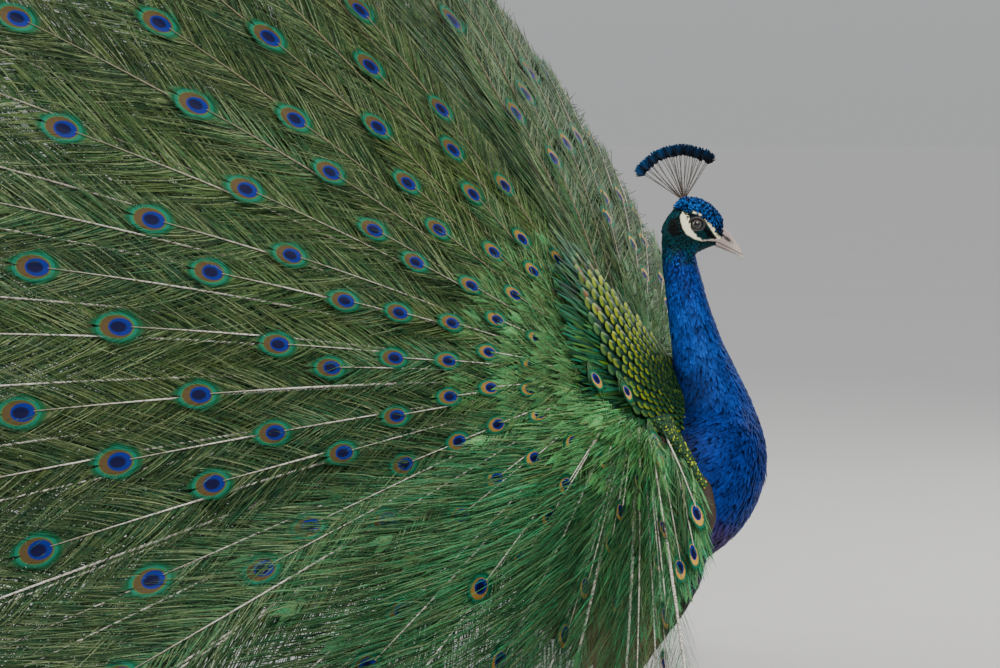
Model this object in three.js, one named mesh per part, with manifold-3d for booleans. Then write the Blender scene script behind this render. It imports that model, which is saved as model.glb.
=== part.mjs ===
// A peacock in full display, life-size, standing on both feet.
// Millimetres. +X is the way the breast faces, +Y the bird's left, +Z up. The bird is laid out with its
// origin on the floor between the feet, and the whole group is then moved so that the origin lies under
// the middle of its bounding box.
import * as THREE from 'three';
import { mergeVertices } from 'three/addons/utils/BufferGeometryUtils.js';
import Module from 'manifold-3d';

const wasm = await Module();
wasm.setup();

// ---------------------------------------------------------------- driving dimensions
const GAP = 0.3;                       // clearance between pieces that touch

// Torso outline along X: [x, top of back, bottom of belly, half width]
const TORSO = [
  [136, 452, 408, 24], [124, 490, 372, 54], [102, 512, 338, 74], [66, 516, 307, 89],
  [20, 510, 278, 97], [-24, 504, 262, 98], [-80, 496, 264, 92], [-130, 480, 286, 78],
  [-172, 456, 322, 56], [-200, 424, 362, 26],
];
const TORSO_SQUARENESS = 2.25;

// Neck rings from the breast up to the nape: [x centre, z, half depth, half width]
const NECK = [
  [70, 420, 62, 70], [72, 465, 58, 62], [72, 500, 51, 50], [62, 540, 42, 38],
  [52, 575, 34.5, 30], [43, 610, 29, 26], [37, 640, 26, 23.5], [31, 668, 24, 22.5], [26, 700, 20, 20],
];

// Head, along its own axis: [distance along, top, bottom, half width], from HEAD_CENTRE
const HEAD_CENTRE = new THREE.Vector3(47, 0, 714);
const HEAD_TURN = THREE.MathUtils.degToRad(10);
const HEAD = [
  [-37, 4, -12, 9], [-33, 11, -25, 15], [-26, 21, -30.5, 19], [-12, 35, -33, 22.5], [0, 36.5, -32.5, 22.5],
  [11, 34, -28, 20.5], [20, 28, -24, 17.5], [28, 20.5, -22, 13.5], [34, 12, -20.5, 10],
];
const EYE = { along: 3, up: 4.6, side: 15.2, radius: 7.6 };

// Lids: a rim round each eyeball, in a shallow dish cut from the side of the head
const LID = { out: 19.4, major: 7.3, minor: 2, dishOut: 28.2, dishRadius: 11 };

// Bill: [distance along, culmen, underside, half width], parted along the mouth line [along, up]
const BILL = [
  [27, 4, -23, 9], [34, 0.9, -25.4, 7.6], [40, -2.5, -28, 6.5], [46, -8, -30.2, 5.1],
  [52, -17.3, -32.6, 3.6], [56.5, -25, -34.5, 2.2], [59.5, -31, -36.5, 1.2], [61.3, -36.3, -38, 0.4],
];
const MOUTH = [
  [9.8, -15.5], [19.5, -16.4], [30, -19.4], [39, -23], [49, -27.6], [55, -31.2], [56.5, -35], [56.8, -45],
];
const MOUTH_BACK = 9.8;                // where the mouth line starts, under the eye
const MOUTH_BEND = 56;                 // beyond it the line turns down round the lower bill's tip
const MOUTH_GAP = 0.5;
const GROOVE = { high: 1.4, deep: 1.3 };
const NOSTRIL = { along: 39, up: -12.4, side: 6.1, long: 4.4, thick: 1.3, slope: -45 };

// Fan of the train: a shallow dish. Its axis leans back and is turned to the bird's right. The feathers
// grow from an elliptical drum on the rump; they sweep back from the dish's plane and bend further back.
const FAN = {
  centre: new THREE.Vector3(-50, 0, 500),
  turn: THREE.MathUtils.degToRad(-28),
  lean: THREE.MathUtils.degToRad(22),
  rootUp: 56, rootSide: 93, rootShare: 0.8,
  sweepTop: 8, bendTop: 26, bendLength: 700,
  right: { sweepSide: 18, bendSide: 38 },
  left: { sweepSide: 14, bendSide: 37, lowFrom: 92, lowSpan: 45, lowSweep: 26 },
  frontOffset: 34, tierStep: 5.3, kinks: [0, 330, 790, 1360],
};
// On the right the lowest feathers grow from a ridge that runs forward over the flank, and they swing
// forward past the wing.
const RIGHT_LOW = {
  from: 100, span: 60, sweep: -8, bend: 2, rootAt: new THREE.Vector3(12, -116, 472),
  layerOut: new THREE.Vector3(0, -0.45, 0.2), ridgeRadius: 23, ridgeStart: 0.12, ridgeEnd: 1.04,
};
const DRUM = { front: 46, back: -50, clear: 1.6 };
const SEAMS = [0, 50, 95];             // angles from the top where the fan is parted into nodes
const SECTOR_NAMES = ['upper', 'side', 'lower'];
const SPREAD = { right: 166, left: 126 };

// Tiers of the train from the front: [feather length, angle of the first, step between feathers]
const TIERS = [
  [100, 54, 32], [155, 8, 28], [205, 22, 28], [275, 5, 27], [345, 17, 24], [420, 5, 24], [500, 16, 22],
  [600, 5, 22], [710, 15, 22], [830, 5, 22], [960, 15, 22], [1095, 5, 22], [1225, 15, 21],
];
// On the left the first tiers leave room for the mantle: the least angle each of them starts from
const LEFT_START = [60, 62, 50, 24];
// Rim feathers, without an eyespot and forked at the end
const FISHTAIL = {
  length: 1330, first: 8.5, step: 12.5, stemHalf: 11, forkHalf: 24, forkLong: 60, notch: 26, stemEnd: 25,
};
// Eyespot heads: half widths of short and long feathers, and how the vane runs into the head
const EYESPOT = {
  shortHalf: 14, longHalf: 29, shortFrom: 100, longFrom: 620, headLong: 3.1, widestAt: 0.48, roundAt: 0.13,
  roundShare: 0.6, stemShare: 0.4, roundFrom: 360, stemEnd: 25,
};
const VANE = {                         // half widths and half thicknesses of the train's vanes
  rootHalf: 2.5, rootThick: 1.2, stemThick: 0.9, headThick: 0.6, tipThick: 0.45, sink: 14, jitter: 1.1,
};
const SEAM_MARGIN = [4, 5, 6.5];       // least angle between a feather and each seam
const FLOOR_SHARE = 0.78;              // feathers the floor would shorten more than this are left out
const FLOOR_OVERLAP = 6;               // how far tips that rest on the floor are drawn past it

// Tail: plain stiff feathers behind the train, which hold it up
const TAIL = {
  reach: 430, offset: -60, layer: 4, back: -84, perSide: 8, first: 6, step: 12.4, half: 29, thick: 0.9,
  rootHalf: 6, rootThick: 1.6, wideFrom: 270,
};

// Mantle: a sheet of scale-like feathers that stands up behind the neck, rooted in a collar round it
const MANTLE = {
  hub: new THREE.Vector3(50, -5, 508),
  axisTurn: THREE.MathUtils.degToRad(-14), axisLean: THREE.MathUtils.degToRad(37),
  sweep: 26, sweepBy: 80, bend: 6, bendBy: 200,
  collar: { from: 28, to: 66, front: 5, back: 22, right: 118, left: 74, columns: 10, margin: 10 },
  // each tier: [longest vane, how far round the left its vanes go]
  tiers: [[112, 74], [145, 74], [172, 74], [200, 34], [228, 14]],
  step: 28, tierGap: 3.4, subLayer: 1.6, half: 19, wideFrom: 110, thick: 0.5, root: 50, sink: 8, shortest: 22,
  reach: {
    right: [[0, 1], [30, 0.7], [60, 0.52], [90, 0.46], [140, 0.5]],
    left: [[0, 1], [10, 0.82], [22, 0.62], [40, 0.5], [60, 0.44], [140, 0.4]],
  },
};

// Wing, folded and drooped: plate of the arm [x, top, bottom], flight feathers from its lower edge
const WING = {
  plate: [[93, 384, 362], [84, 418, 346], [50, 440, 346], [10, 444, 362], [-24, 440, 380], [-42, 426, 398]],
  thickness: 14, sunk: 4,
  count: 11, firstRoot: [70, 362], lastRoot: [-26, 402],
  firstDip: 60, lastDip: 22, firstLength: 240, lastLength: 180, half: 16.5, outward: 0.16, shingle: 14,
  thick: 0.5, widestAt: 0.45, sink: 6,
};
// Rows of coverts over the flight feathers: [share of their length, count, half width, rise, lift, outward]
const COVERTS = [[0.46, 6, 15.5, 14, 3, 0.26], [0.28, 6, 15.5, 32, 4, 0.3]];

const CREST = {
  along: -12, up: 33, shaft: 63, from: -56, to: 32, count: 18, half: 4.6, thick: 0.42, shaftHalf: 0.7,
  layers: 2.2, tipLong: 18, widestAt: 6, base: [7, 4.5, 7],
};
const FOOT = {
  right: [16, -58], left: [-16, 58], ankle: 16, hockBack: 42, hockHeight: 158, kneeForward: 24, kneeHeight: 318,
};
const TOES = [                         // [turn from straight ahead, length, half width]
  [0, 72, 6.2], [38, 56, 5.6], [-36, 52, 5.6], [176, 26, 4.6],
];
const SCUTES = { count: 7, raise: 1, toes: 3, toeRaise: 0.8, points: 6 };
const SPUR = { up: 0.62, length: 15, half: 3.2, tip: 4 };
// Limb sections: [share of the length from hock to ankle, half depth, half width]
const SHANK = [[-0.06, 9, 8], [0.16, 7.6, 6.6], [0.5, 6.4, 5.6], [0.8, 7, 6.6], [1.02, 8, 8]];
const THIGH = [[0, 15, 13], [0.25, 24, 20], [0.55, 37, 31], [0.8, 40, 38], [1, 34, 36]];
// Toe and claw: [share of the length, share of the half width, height of the middle line]
const TOE = [
  [0, 1.1, 12], [0.25, 1, 8], [0.5, 1, 6.4], [0.78, 0.85, 5.2], [0.84, 0.5, 4.6], [0.94, 0.3, 3], [1, 0.12, 0.7],
];

const COLOURS = {
  blue: 0x0b4fb0, teal: 0x0a5a58, bill: 0xb9aca2, eye: 0x3a2a22, gold: 0x8f9a30, green: 0x3f7a3a,
  brown: 0x6b5138, rufous: 0x9a5a30, grey: 0x8a8378, belly: 0x2b2f28,
};

// ---------------------------------------------------------------- helpers
const deg = THREE.MathUtils.degToRad;
const vec = (x, y, z) => new THREE.Vector3(x, y, z);

/** Values of a table of rows at fraction t of its length, on a smooth curve through the rows. */
function smoothRow(rows, t) {
  const place = t * (rows.length - 1);
  const i = Math.min(Math.floor(place), rows.length - 2);
  const f = place - i;
  const row = (k) => rows[Math.max(0, Math.min(rows.length - 1, k))];
  return rows[0].map((_, c) => {
    const [a, b, e, g] = [row(i - 1)[c], row(i)[c], row(i + 1)[c], row(i + 2)[c]];
    return b + 0.5 * f * (e - a + f * (2 * a - 5 * b + 4 * e - g + f * (3 * (b - e) + g - a)));
  });
}

/** Ring of points round a centre, as an ellipse squared off by a power. */
function ring(centre, axisA, axisB, radiusA, radiusB, count, power = 2) {
  const points = [];
  for (let i = 0; i < count; i++) {
    const angle = (2 * Math.PI * i) / count;
    const ca = Math.cos(angle);
    const sa = Math.sin(angle);
    const a = Math.sign(ca) * Math.abs(ca) ** (2 / power) * radiusA;
    const b = Math.sign(sa) * Math.abs(sa) ** (2 / power) * radiusB;
    points.push(centre.clone().addScaledVector(axisA, a).addScaledVector(axisB, b));
  }
  return points;
}

/** Values of a table at a place along its first column, in straight lines between its rows. */
function rowAt(table, place) {
  const found = table.findIndex(([start]) => start >= place);
  const k = Math.max(1, found < 0 ? table.length - 1 : found);
  const f = (place - table[k - 1][0]) / (table[k][0] - table[k - 1][0]);
  return table[k].map((value, c) => table[k - 1][c] + (value - table[k - 1][c]) * f);
}

/** Closed surface through rings of equal counts, with flat fans at both ends. */
function loft(rings) {
  const count = rings[0].length;
  const positions = rings.flat();
  const faces = [];
  for (let r = 0; r + 1 < rings.length; r++) {
    for (let i = 0; i < count; i++) {
      const j = (i + 1) % count;
      const [a, b, c, e] = [r * count + i, r * count + j, (r + 1) * count + j, (r + 1) * count + i];
      faces.push([a, b, c], [a, c, e]);
    }
  }
  for (const [start, flip] of [[0, true], [(rings.length - 1) * count, false]]) {
    const middle = positions.length;
    const centre = vec(0, 0, 0);
    for (let i = 0; i < count; i++) centre.add(positions[start + i]);
    positions.push(centre.divideScalar(count));
    for (let i = 0; i < count; i++) {
      const j = (i + 1) % count;
      faces.push(flip ? [middle, start + j, start + i] : [middle, start + i, start + j]);
    }
  }
  return solid(positions, faces);
}

/** Manifold solid from points and triangles; turned inside out if its volume is negative. */
function solid(positions, faces) {
  let volume = 0;
  for (const [a, b, c] of faces) {
    volume += positions[a].dot(vec(0, 0, 0).crossVectors(positions[b], positions[c]));
  }
  const ordered = volume < 0 ? faces.map(([a, b, c]) => [a, c, b]) : faces;
  return new wasm.Manifold(new wasm.Mesh({
    numProp: 3,
    vertProperties: new Float32Array(positions.flatMap((p) => [p.x, p.y, p.z])),
    triVerts: new Uint32Array(ordered.flat()),
  }));
}

/** Manifold solid from a three.js geometry. */
function fromGeometry(geometry) {
  geometry.deleteAttribute('normal');
  geometry.deleteAttribute('uv');
  const merged = mergeVertices(geometry, 1e-4);
  return new wasm.Manifold(new wasm.Mesh({
    numProp: 3,
    vertProperties: new Float32Array(merged.attributes.position.array),
    triVerts: new Uint32Array(merged.index.array),
  }));
}

/** The largest closed surface of a solid. */
function largest(body) {
  const outer = body.decompose().filter((piece) => piece.volume() > 0);
  outer.sort((a, b) => b.volume() - a.volume());
  return outer[0];
}

const union = (pieces) => pieces.reduce((whole, piece) => whole.add(piece));

/** Named mesh of a solid. */
function mesh(name, body, colour, roughness = 0.6) {
  const { vertProperties, triVerts } = largest(body).getMesh();
  const geometry = new THREE.BufferGeometry();
  geometry.setAttribute('position', new THREE.BufferAttribute(new Float32Array(vertProperties), 3));
  geometry.setIndex(new THREE.BufferAttribute(new Uint32Array(triVerts), 1));
  geometry.computeVertexNormals();
  const material = new THREE.MeshStandardMaterial({ color: colour, roughness, metalness: 0 });
  const node = new THREE.Mesh(geometry, material);
  node.name = name;
  return node;
}

// ---------------------------------------------------------------- body
const UP = vec(0, 0, 1);
const LEFT = vec(0, 1, 0);

function torsoSolid(grow = 0) {
  const rings = [];
  const steps = 13;
  for (let i = 0; i <= steps; i++) {
    const [x, top, bottom, width] = smoothRow(TORSO, i / steps);
    const end = i === 0 ? grow : i === steps ? -grow : 0;
    const centre = vec(x + end, 0, (top + bottom) / 2);
    rings.push(ring(centre, LEFT, UP, width + grow, (top - bottom) / 2 + grow, 18, TORSO_SQUARENESS));
  }
  return loft(rings);
}

function neckSolid(grow = 0) {
  const rings = [];
  const steps = 9;
  for (let i = 0; i <= steps; i++) {
    const [x, z, depth, width] = smoothRow(NECK, i / steps);
    const end = i === 0 ? -grow : i === steps ? grow : 0;
    rings.push(ring(vec(x, 0, z + end), vec(1, 0, 0), LEFT, depth + grow, width + grow, 15));
  }
  return loft(rings);
}

/** Point of the head's own frame: along its axis, to its left, and up. */
function headPoint(along, left, up) {
  return vec(along, left, up).applyAxisAngle(UP, HEAD_TURN).add(HEAD_CENTRE);
}
const HEAD_LEFT = LEFT.clone().applyAxisAngle(UP, HEAD_TURN);

function headSolid(grow = 0) {
  const rings = [];
  const steps = 9;
  for (let i = 0; i <= steps; i++) {
    const [along, top, bottom, width] = smoothRow(HEAD, i / steps);
    const end = i === 0 ? -grow : i === steps ? grow : 0;
    rings.push(ring(headPoint(along + end, 0, (top + bottom) / 2), HEAD_LEFT, UP, width + grow,
      (top - bottom) / 2 + grow, 13));
  }
  return loft(rings);
}

function billSolid(grow = 0) {
  return loft(BILL.map(([along, top, bottom, width]) => {
    const centre = headPoint(along, 0, (top + bottom) / 2);
    return ring(centre, HEAD_LEFT, UP, width + grow, (top - bottom) / 2 + grow, 10);
  }));
}

/** Block of the head's own frame: an outline of [along, up] points between two distances to the left. */
function headBlock(outline, from, to) {
  const shape = new THREE.Shape(outline.map(([along, up]) => new THREE.Vector2(along, up)));
  const geometry = new THREE.ExtrudeGeometry(shape, { depth: to - from, bevelEnabled: false });
  geometry.rotateX(Math.PI / 2);
  geometry.translate(0, to, 0);
  geometry.rotateZ(HEAD_TURN);
  geometry.translate(HEAD_CENTRE.x, HEAD_CENTRE.y, HEAD_CENTRE.z);
  return fromGeometry(geometry);
}

function sphere(centre, radius, columns = 12, rows = 8) {
  return fromGeometry(new THREE.SphereGeometry(radius, columns, rows)).translate(centre.toArray());
}

/** Repeatable small differences between feathers, from -1 to 1. */
let jitterState = 20011;
function jitter() {
  jitterState = (jitterState * 1664525 + 1013904223) % 4294967296;
  return jitterState / 2147483648 - 1;
}

// ---------------------------------------------------------------- feathers
/** Closed vane through four-sided sections (edge, face, edge, face), drawn together to a tip. */
function vaneSolid(sections, tip) {
  const positions = [...sections.flat(), tip];
  const last = positions.length - 1;
  const faces = [[0, 3, 1], [3, 2, 1]];
  for (let r = 0; r < sections.length; r++) {
    const [left, front, right, back] = [4 * r, 4 * r + 1, 4 * r + 2, 4 * r + 3];
    for (const [a, b] of [[left, front], [front, right], [right, back], [back, left]]) {
      if (r + 1 === sections.length) faces.push([a, b, last]);
      else if (a === left || a === right) faces.push([a, b, b + 4], [a, b + 4, a + 4]);
      else faces.push([a, b, a + 4], [b, b + 4, a + 4]);
    }
  }
  return solid(positions, faces);
}

/**
 * Vane lying in a curved sheet. place(angle, s) is a point of the sheet, and each row holds a distance s, a
 * half width and a half thickness.
 */
function sheetVane(place, angle, rows, tipAt) {
  const sections = rows.map(([s, half, thick]) => {
    const middle = place(angle, s);
    const slope = place(angle + 0.5, s).sub(place(angle - 0.5, s));
    const normal = place(angle, s + 1).sub(middle).cross(slope).normalize();
    const reach = half / slope.length();
    return [place(angle - reach, s), middle.clone().addScaledVector(normal, thick),
      place(angle + reach, s), middle.clone().addScaledVector(normal, -thick)];
  });
  return vaneSolid(sections, place(angle, tipAt));
}

/** Straight vane from a root along a direction, with its width across. */
function straightVane(root, direction, across, rows, tipAt) {
  const normal = direction.clone().cross(across).normalize();
  const sections = rows.map(([s, half, thick]) => {
    const middle = root.clone().addScaledVector(direction, s);
    return [middle.clone().addScaledVector(across, -half), middle.clone().addScaledVector(normal, thick),
      middle.clone().addScaledVector(across, half), middle.clone().addScaledVector(normal, -thick)];
  });
  return vaneSolid(sections, root.clone().addScaledVector(direction, tipAt));
}

// ---------------------------------------------------------------- fan
const FAN_AXIS = vec(Math.cos(FAN.lean), 0, Math.sin(FAN.lean)).applyAxisAngle(UP, FAN.turn);
const FAN_UP = vec(-Math.sin(FAN.lean), 0, Math.cos(FAN.lean)).applyAxisAngle(UP, FAN.turn);
const FAN_LEFT = LEFT.clone().applyAxisAngle(UP, FAN.turn);

/** How far a feather belongs to the low group of its side. */
function lowShare(angle, side) {
  const [from, span] = side < 0 ? [RIGHT_LOW.from, RIGHT_LOW.span] : [FAN.left.lowFrom, FAN.left.lowSpan];
  return Math.max(0, (angle - from) / span);
}

/** Point of the drum's surface where a feather leaves it. */
function drumRoot(angle, side, offset) {
  const rootAngle = deg(angle) * FAN.rootShare;
  return FAN.centre.clone().addScaledVector(FAN_AXIS, offset)
    .addScaledVector(FAN_UP, FAN.rootUp * Math.cos(rootAngle))
    .addScaledVector(FAN_LEFT, side * FAN.rootSide * Math.sin(rootAngle));
}

/** Point where a feather of the train starts: on the drum, or on the ridge over the right flank. */
function rootPoint(angle, side, offset) {
  const low = lowShare(angle, side);
  if (side > 0 || low === 0) return drumRoot(angle, side, offset);
  const end = RIGHT_LOW.rootAt.clone().addScaledVector(RIGHT_LOW.layerOut, offset);
  return drumRoot(RIGHT_LOW.from, side, offset).lerp(end, low);
}

/** Points of a shaft where all shafts bend. The angle is from the top; side is 1 left and -1 right. */
function shaftLine(angle, side, offset) {
  const a = deg(angle);
  const out = FAN_UP.clone().multiplyScalar(Math.cos(a)).addScaledVector(FAN_LEFT, side * Math.sin(a));
  const { sweepSide, bendSide } = side < 0 ? FAN.right : FAN.left;
  const share = Math.abs(angle) < 90 ? Math.sin(a) ** 2 : 1;
  const low = lowShare(angle, side);
  let sweep = FAN.sweepTop + (sweepSide - FAN.sweepTop) * share;
  let bend = FAN.bendTop + (bendSide - FAN.bendTop) * share;
  if (side < 0) {
    sweep += (RIGHT_LOW.sweep - sweepSide) * low;
    bend += (RIGHT_LOW.bend - bendSide) * low;
  } else {
    sweep += FAN.left.lowSweep * low;
  }
  const point = rootPoint(angle, side, offset);
  const points = [point.clone()];
  const pieces = 10;
  for (let k = 0; k + 1 < FAN.kinks.length; k++) {
    const step = (FAN.kinks[k + 1] - FAN.kinks[k]) / pieces;
    for (let i = 0; i < pieces; i++) {
      const s = FAN.kinks[k] + (i + 0.5) * step;
      const g = deg(sweep + bend * (1 - Math.exp(-s / FAN.bendLength)));
      point.addScaledVector(out, step * Math.cos(g)).addScaledVector(FAN_AXIS, -step * Math.sin(g));
    }
    points.push(point.clone());
  }
  return points;
}

/** Direction straight out from the drum's axis at a point. */
function drumOutward(point) {
  const outward = point.clone().sub(FAN.centre);
  return outward.addScaledVector(FAN_AXIS, -outward.dot(FAN_AXIS)).normalize();
}

/** Sheet of the fan at one offset along its axis: point at an angle and a distance from the root. */
function fanSheet(side, offset) {
  const lines = new Map();
  return (angle, s) => {
    if (!lines.has(angle)) lines.set(angle, shaftLine(angle, side, offset));
    const line = lines.get(angle);
    if (s < 0) return line[0].clone().addScaledVector(drumOutward(line[0]), s);
    let k = 0;
    while (k + 2 < FAN.kinks.length && s > FAN.kinks[k + 1]) k++;
    const share = (s - FAN.kinks[k]) / (FAN.kinks[k + 1] - FAN.kinks[k]);
    return line[k].clone().lerp(line[k + 1], share);
  };
}

/** Length along a shaft at which it meets the floor, or the longest asked for. */
function reachAboveFloor(sheet, angle, longest) {
  const step = 5;
  for (let s = step; s <= longest; s += step) {
    if (sheet(angle, s).z < 0) return s - step;
  }
  return longest;
}

/** Feather with an eyespot at its end. */
function eyespotFeather(sheet, angle, length) {
  const { shortHalf, longHalf, shortFrom, longFrom, headLong, widestAt, roundAt, roundShare } = EYESPOT;
  const grown = Math.min(1, Math.max(0, (length - shortFrom) / (longFrom - shortFrom)));
  const half = shortHalf + (longHalf - shortHalf) * grown;
  const head = headLong * half;
  const stem = half * EYESPOT.stemShare;
  const rows = [[-VANE.sink, VANE.rootHalf, VANE.rootThick]];
  for (const s of FAN.kinks.slice(1)) {
    if (s < length - head - EYESPOT.stemEnd) rows.push([s, stem, VANE.stemThick]);
  }
  rows.push([length - head, stem, VANE.stemThick], [length - widestAt * head, half, VANE.headThick]);
  if (length > EYESPOT.roundFrom) rows.push([length - roundAt * head, roundShare * half, VANE.tipThick]);
  return sheetVane(sheet, angle, rows, length);
}

/** Rim feather with a forked end and no eyespot. */
function forkedFeather(sheet, angle, length) {
  const { stemHalf, forkHalf, forkLong, notch, stemEnd } = FISHTAIL;
  const rows = [[-VANE.sink, VANE.rootHalf, VANE.rootThick]];
  for (const s of FAN.kinks.slice(1)) {
    if (s < length - forkLong - stemEnd) rows.push([s, stemHalf, VANE.stemThick]);
  }
  rows.push([length - forkLong, stemHalf, VANE.headThick]);
  const tips = sheetVane(sheet, angle, [...rows, [length, forkHalf, VANE.tipThick]], length + 1);
  const cutThick = 6;
  const wedge = sheetVane(sheet, angle, [
    [length + 4, forkHalf, cutThick], [length, forkHalf * 0.9, cutThick]], length - notch);
  return tips.subtract(wedge);
}

/** Point on the drum's outline, in its up and side directions. */
const drumPoint = (angle) => new THREE.Vector2(FAN.rootUp * Math.cos(angle), FAN.rootSide * Math.sin(angle));

/** Wedge of the drum that carries the feathers; its sides are moved in and its rim out as given. */
function drumWedge(from, to, side, front, back, inset = GAP / 2, grow = 0) {
  const start = deg(from) * FAN.rootShare;
  const end = deg(to) * FAN.rootShare;
  const first = drumPoint(start).normalize();
  const last = drumPoint(end).normalize();
  const turn = (v, sign) => new THREE.Vector2(-sign * v.y, sign * v.x).multiplyScalar(inset);
  const apart = Math.acos(first.dot(last));
  const corner = first.clone().add(last).setLength(1).multiplyScalar(inset / Math.sin(apart / 2));
  const rim = (angle) => drumPoint(angle).multiplyScalar(1 + grow / FAN.rootUp);
  const steps = Math.max(3, Math.round((end - start) / deg(14)));
  const points = [corner, rim(start).add(turn(first, 1))];
  for (let i = 1; i < steps; i++) points.push(rim(start + ((end - start) * i) / steps));
  points.push(rim(end).add(turn(last, -1)));
  const shape = new THREE.Shape(points);
  const body = fromGeometry(new THREE.ExtrudeGeometry(shape, { depth: front - back, bevelEnabled: false }));
  const matrix = new THREE.Matrix4().makeBasis(FAN_UP, FAN_LEFT.clone().multiplyScalar(side), FAN_AXIS);
  const mirrored = matrix.determinant() < 0;
  matrix.setPosition(FAN.centre.clone().addScaledVector(FAN_AXIS, back));
  const { vertProperties, triVerts } = body.getMesh();
  const positions = [];
  for (let i = 0; i < vertProperties.length; i += 3) {
    positions.push(vec(...vertProperties.subarray(i, i + 3)).applyMatrix4(matrix));
  }
  const faces = [];
  for (let i = 0; i < triVerts.length; i += 3) {
    const [a, b, c] = triVerts.subarray(i, i + 3);
    faces.push(mirrored ? [a, c, b] : [a, b, c]);
  }
  return solid(positions, faces);
}

/** Dome that closes the drum at one end, from where it starts to its crown. */
function drumCap(start, end) {
  return loft([[0, 1], [0.4, 0.93], [0.75, 0.74], [1, 0.4]].map(([t, share]) => {
    const centre = FAN.centre.clone().addScaledVector(FAN_AXIS, start + (end - start) * t);
    return ring(centre, FAN_UP, FAN_LEFT, FAN.rootUp * share, FAN.rootSide * share, 20);
  }));
}

// ---------------------------------------------------------------- assembly
const bird = new THREE.Group();
const torso = torsoSolid();
const torsoCut = torsoSolid(GAP);
const neckCut = neckSolid(GAP);
const headCut = headSolid(GAP);

const sides = { right: -1, left: 1 };
const eyeCentre = (side, out = EYE.side) => headPoint(EYE.along, side * out, EYE.up);

/** Bill above or below the mouth line. */
function billPart(above) {
  const shift = (above ? 1 : -1) * MOUTH_GAP / 2;
  const line = MOUTH.map(([along, up]) => [along + (along > MOUTH_BEND ? shift : 0), up + shift]);
  const end = above ? [[90, -45], [90, 60], [MOUTH_BACK, 60]] : [[line.at(-1)[0], -70], [MOUTH_BACK, -70]];
  return billSolid().intersect(headBlock([...line, ...end], -30, 30));
}

function nostril(side) {
  const geometry = new THREE.SphereGeometry(1, 6, 5);
  geometry.scale(NOSTRIL.long, NOSTRIL.thick, NOSTRIL.thick);
  geometry.rotateY(deg(-NOSTRIL.slope));
  geometry.rotateZ(HEAD_TURN);
  const place = headPoint(NOSTRIL.along, side * NOSTRIL.side, NOSTRIL.up);
  return fromGeometry(geometry).translate(place.toArray());
}

function lid(side) {
  const geometry = new THREE.TorusGeometry(LID.major, LID.minor, 4, 11);
  geometry.rotateX(Math.PI / 2);
  geometry.rotateZ(HEAD_TURN);
  return fromGeometry(geometry).translate(eyeCentre(side, LID.out).toArray());
}

let head = headSolid();
for (const side of Object.values(sides)) {
  head = head.subtract(sphere(eyeCentre(side, LID.dishOut), LID.dishRadius)).add(lid(side))
    .subtract(sphere(eyeCentre(side), EYE.radius + GAP));
}
const grooveLine = MOUTH.slice(0, 4);
const grooveOutline = [
  ...grooveLine.map(([along, up]) => [along, up + GROOVE.high / 2]),
  ...grooveLine.toReversed().map(([along, up]) => [along, up - GROOVE.high / 2]),
];
const groove = headBlock(grooveOutline, -30, 30).subtract(headSolid(-GROOVE.deep));
head = head.subtract(groove).subtract(billSolid(GAP));

bird.add(mesh('torso', torso, COLOURS.blue));
bird.add(mesh('neck', neckSolid().subtract(torsoCut).subtract(headCut), COLOURS.blue));
bird.add(mesh('head', head, COLOURS.teal));
bird.add(mesh('bill_upper', billPart(true).subtract(nostril(1)).subtract(nostril(-1)), COLOURS.bill));
bird.add(mesh('bill_lower', billPart(false), COLOURS.bill));
for (const [name, side] of Object.entries(sides)) {
  bird.add(mesh(`eye_${name}`, sphere(eyeCentre(side), EYE.radius), COLOURS.eye, 0.2));
}

// Crest: shafts with spatulate tips, fanned from one spot on the crown, in three layers side by side
const crestRoot = headPoint(CREST.along, 0, CREST.up);
const crestPieces = [fromGeometry(new THREE.SphereGeometry(1, 8, 5)).scale(CREST.base)
  .rotate([0, 0, THREE.MathUtils.radToDeg(HEAD_TURN)]).translate(crestRoot.toArray())];
for (let i = 0; i < CREST.count; i++) {
  const angle = deg(CREST.from + ((CREST.to - CREST.from) * i) / (CREST.count - 1));
  const splay = deg(((i % 3) - 1) * CREST.layers);
  const tipAt = CREST.shaft + 1.5 * jitter();
  const direction = vec(Math.sin(angle), Math.sin(splay), Math.cos(angle)).normalize();
  direction.applyAxisAngle(UP, HEAD_TURN);
  const across = HEAD_LEFT.clone().cross(direction).normalize();
  crestPieces.push(straightVane(crestRoot, direction, across, [
    [-2, CREST.shaftHalf, CREST.shaftHalf],
    [tipAt - CREST.tipLong, CREST.shaftHalf, CREST.shaftHalf * 0.8],
    [tipAt - CREST.widestAt, CREST.half, CREST.thick]], tipAt));
}
bird.add(mesh('crest', union(crestPieces).subtract(headCut), COLOURS.blue));

// Train: every feather of every tier goes to the sector it grows from
/** Angle moved clear of the seams between sectors. */
function clearOfSeams(angle) {
  for (let i = 0; i < SEAMS.length; i++) {
    const past = angle - SEAMS[i];
    if (Math.abs(past) < SEAM_MARGIN[i]) return SEAMS[i] + (past < 0 && i > 0 ? -1 : 1) * SEAM_MARGIN[i];
  }
  return angle;
}
const sectorOf = (angle) => SECTOR_NAMES[SEAMS.filter((seam) => angle >= seam).length - 1];

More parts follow.
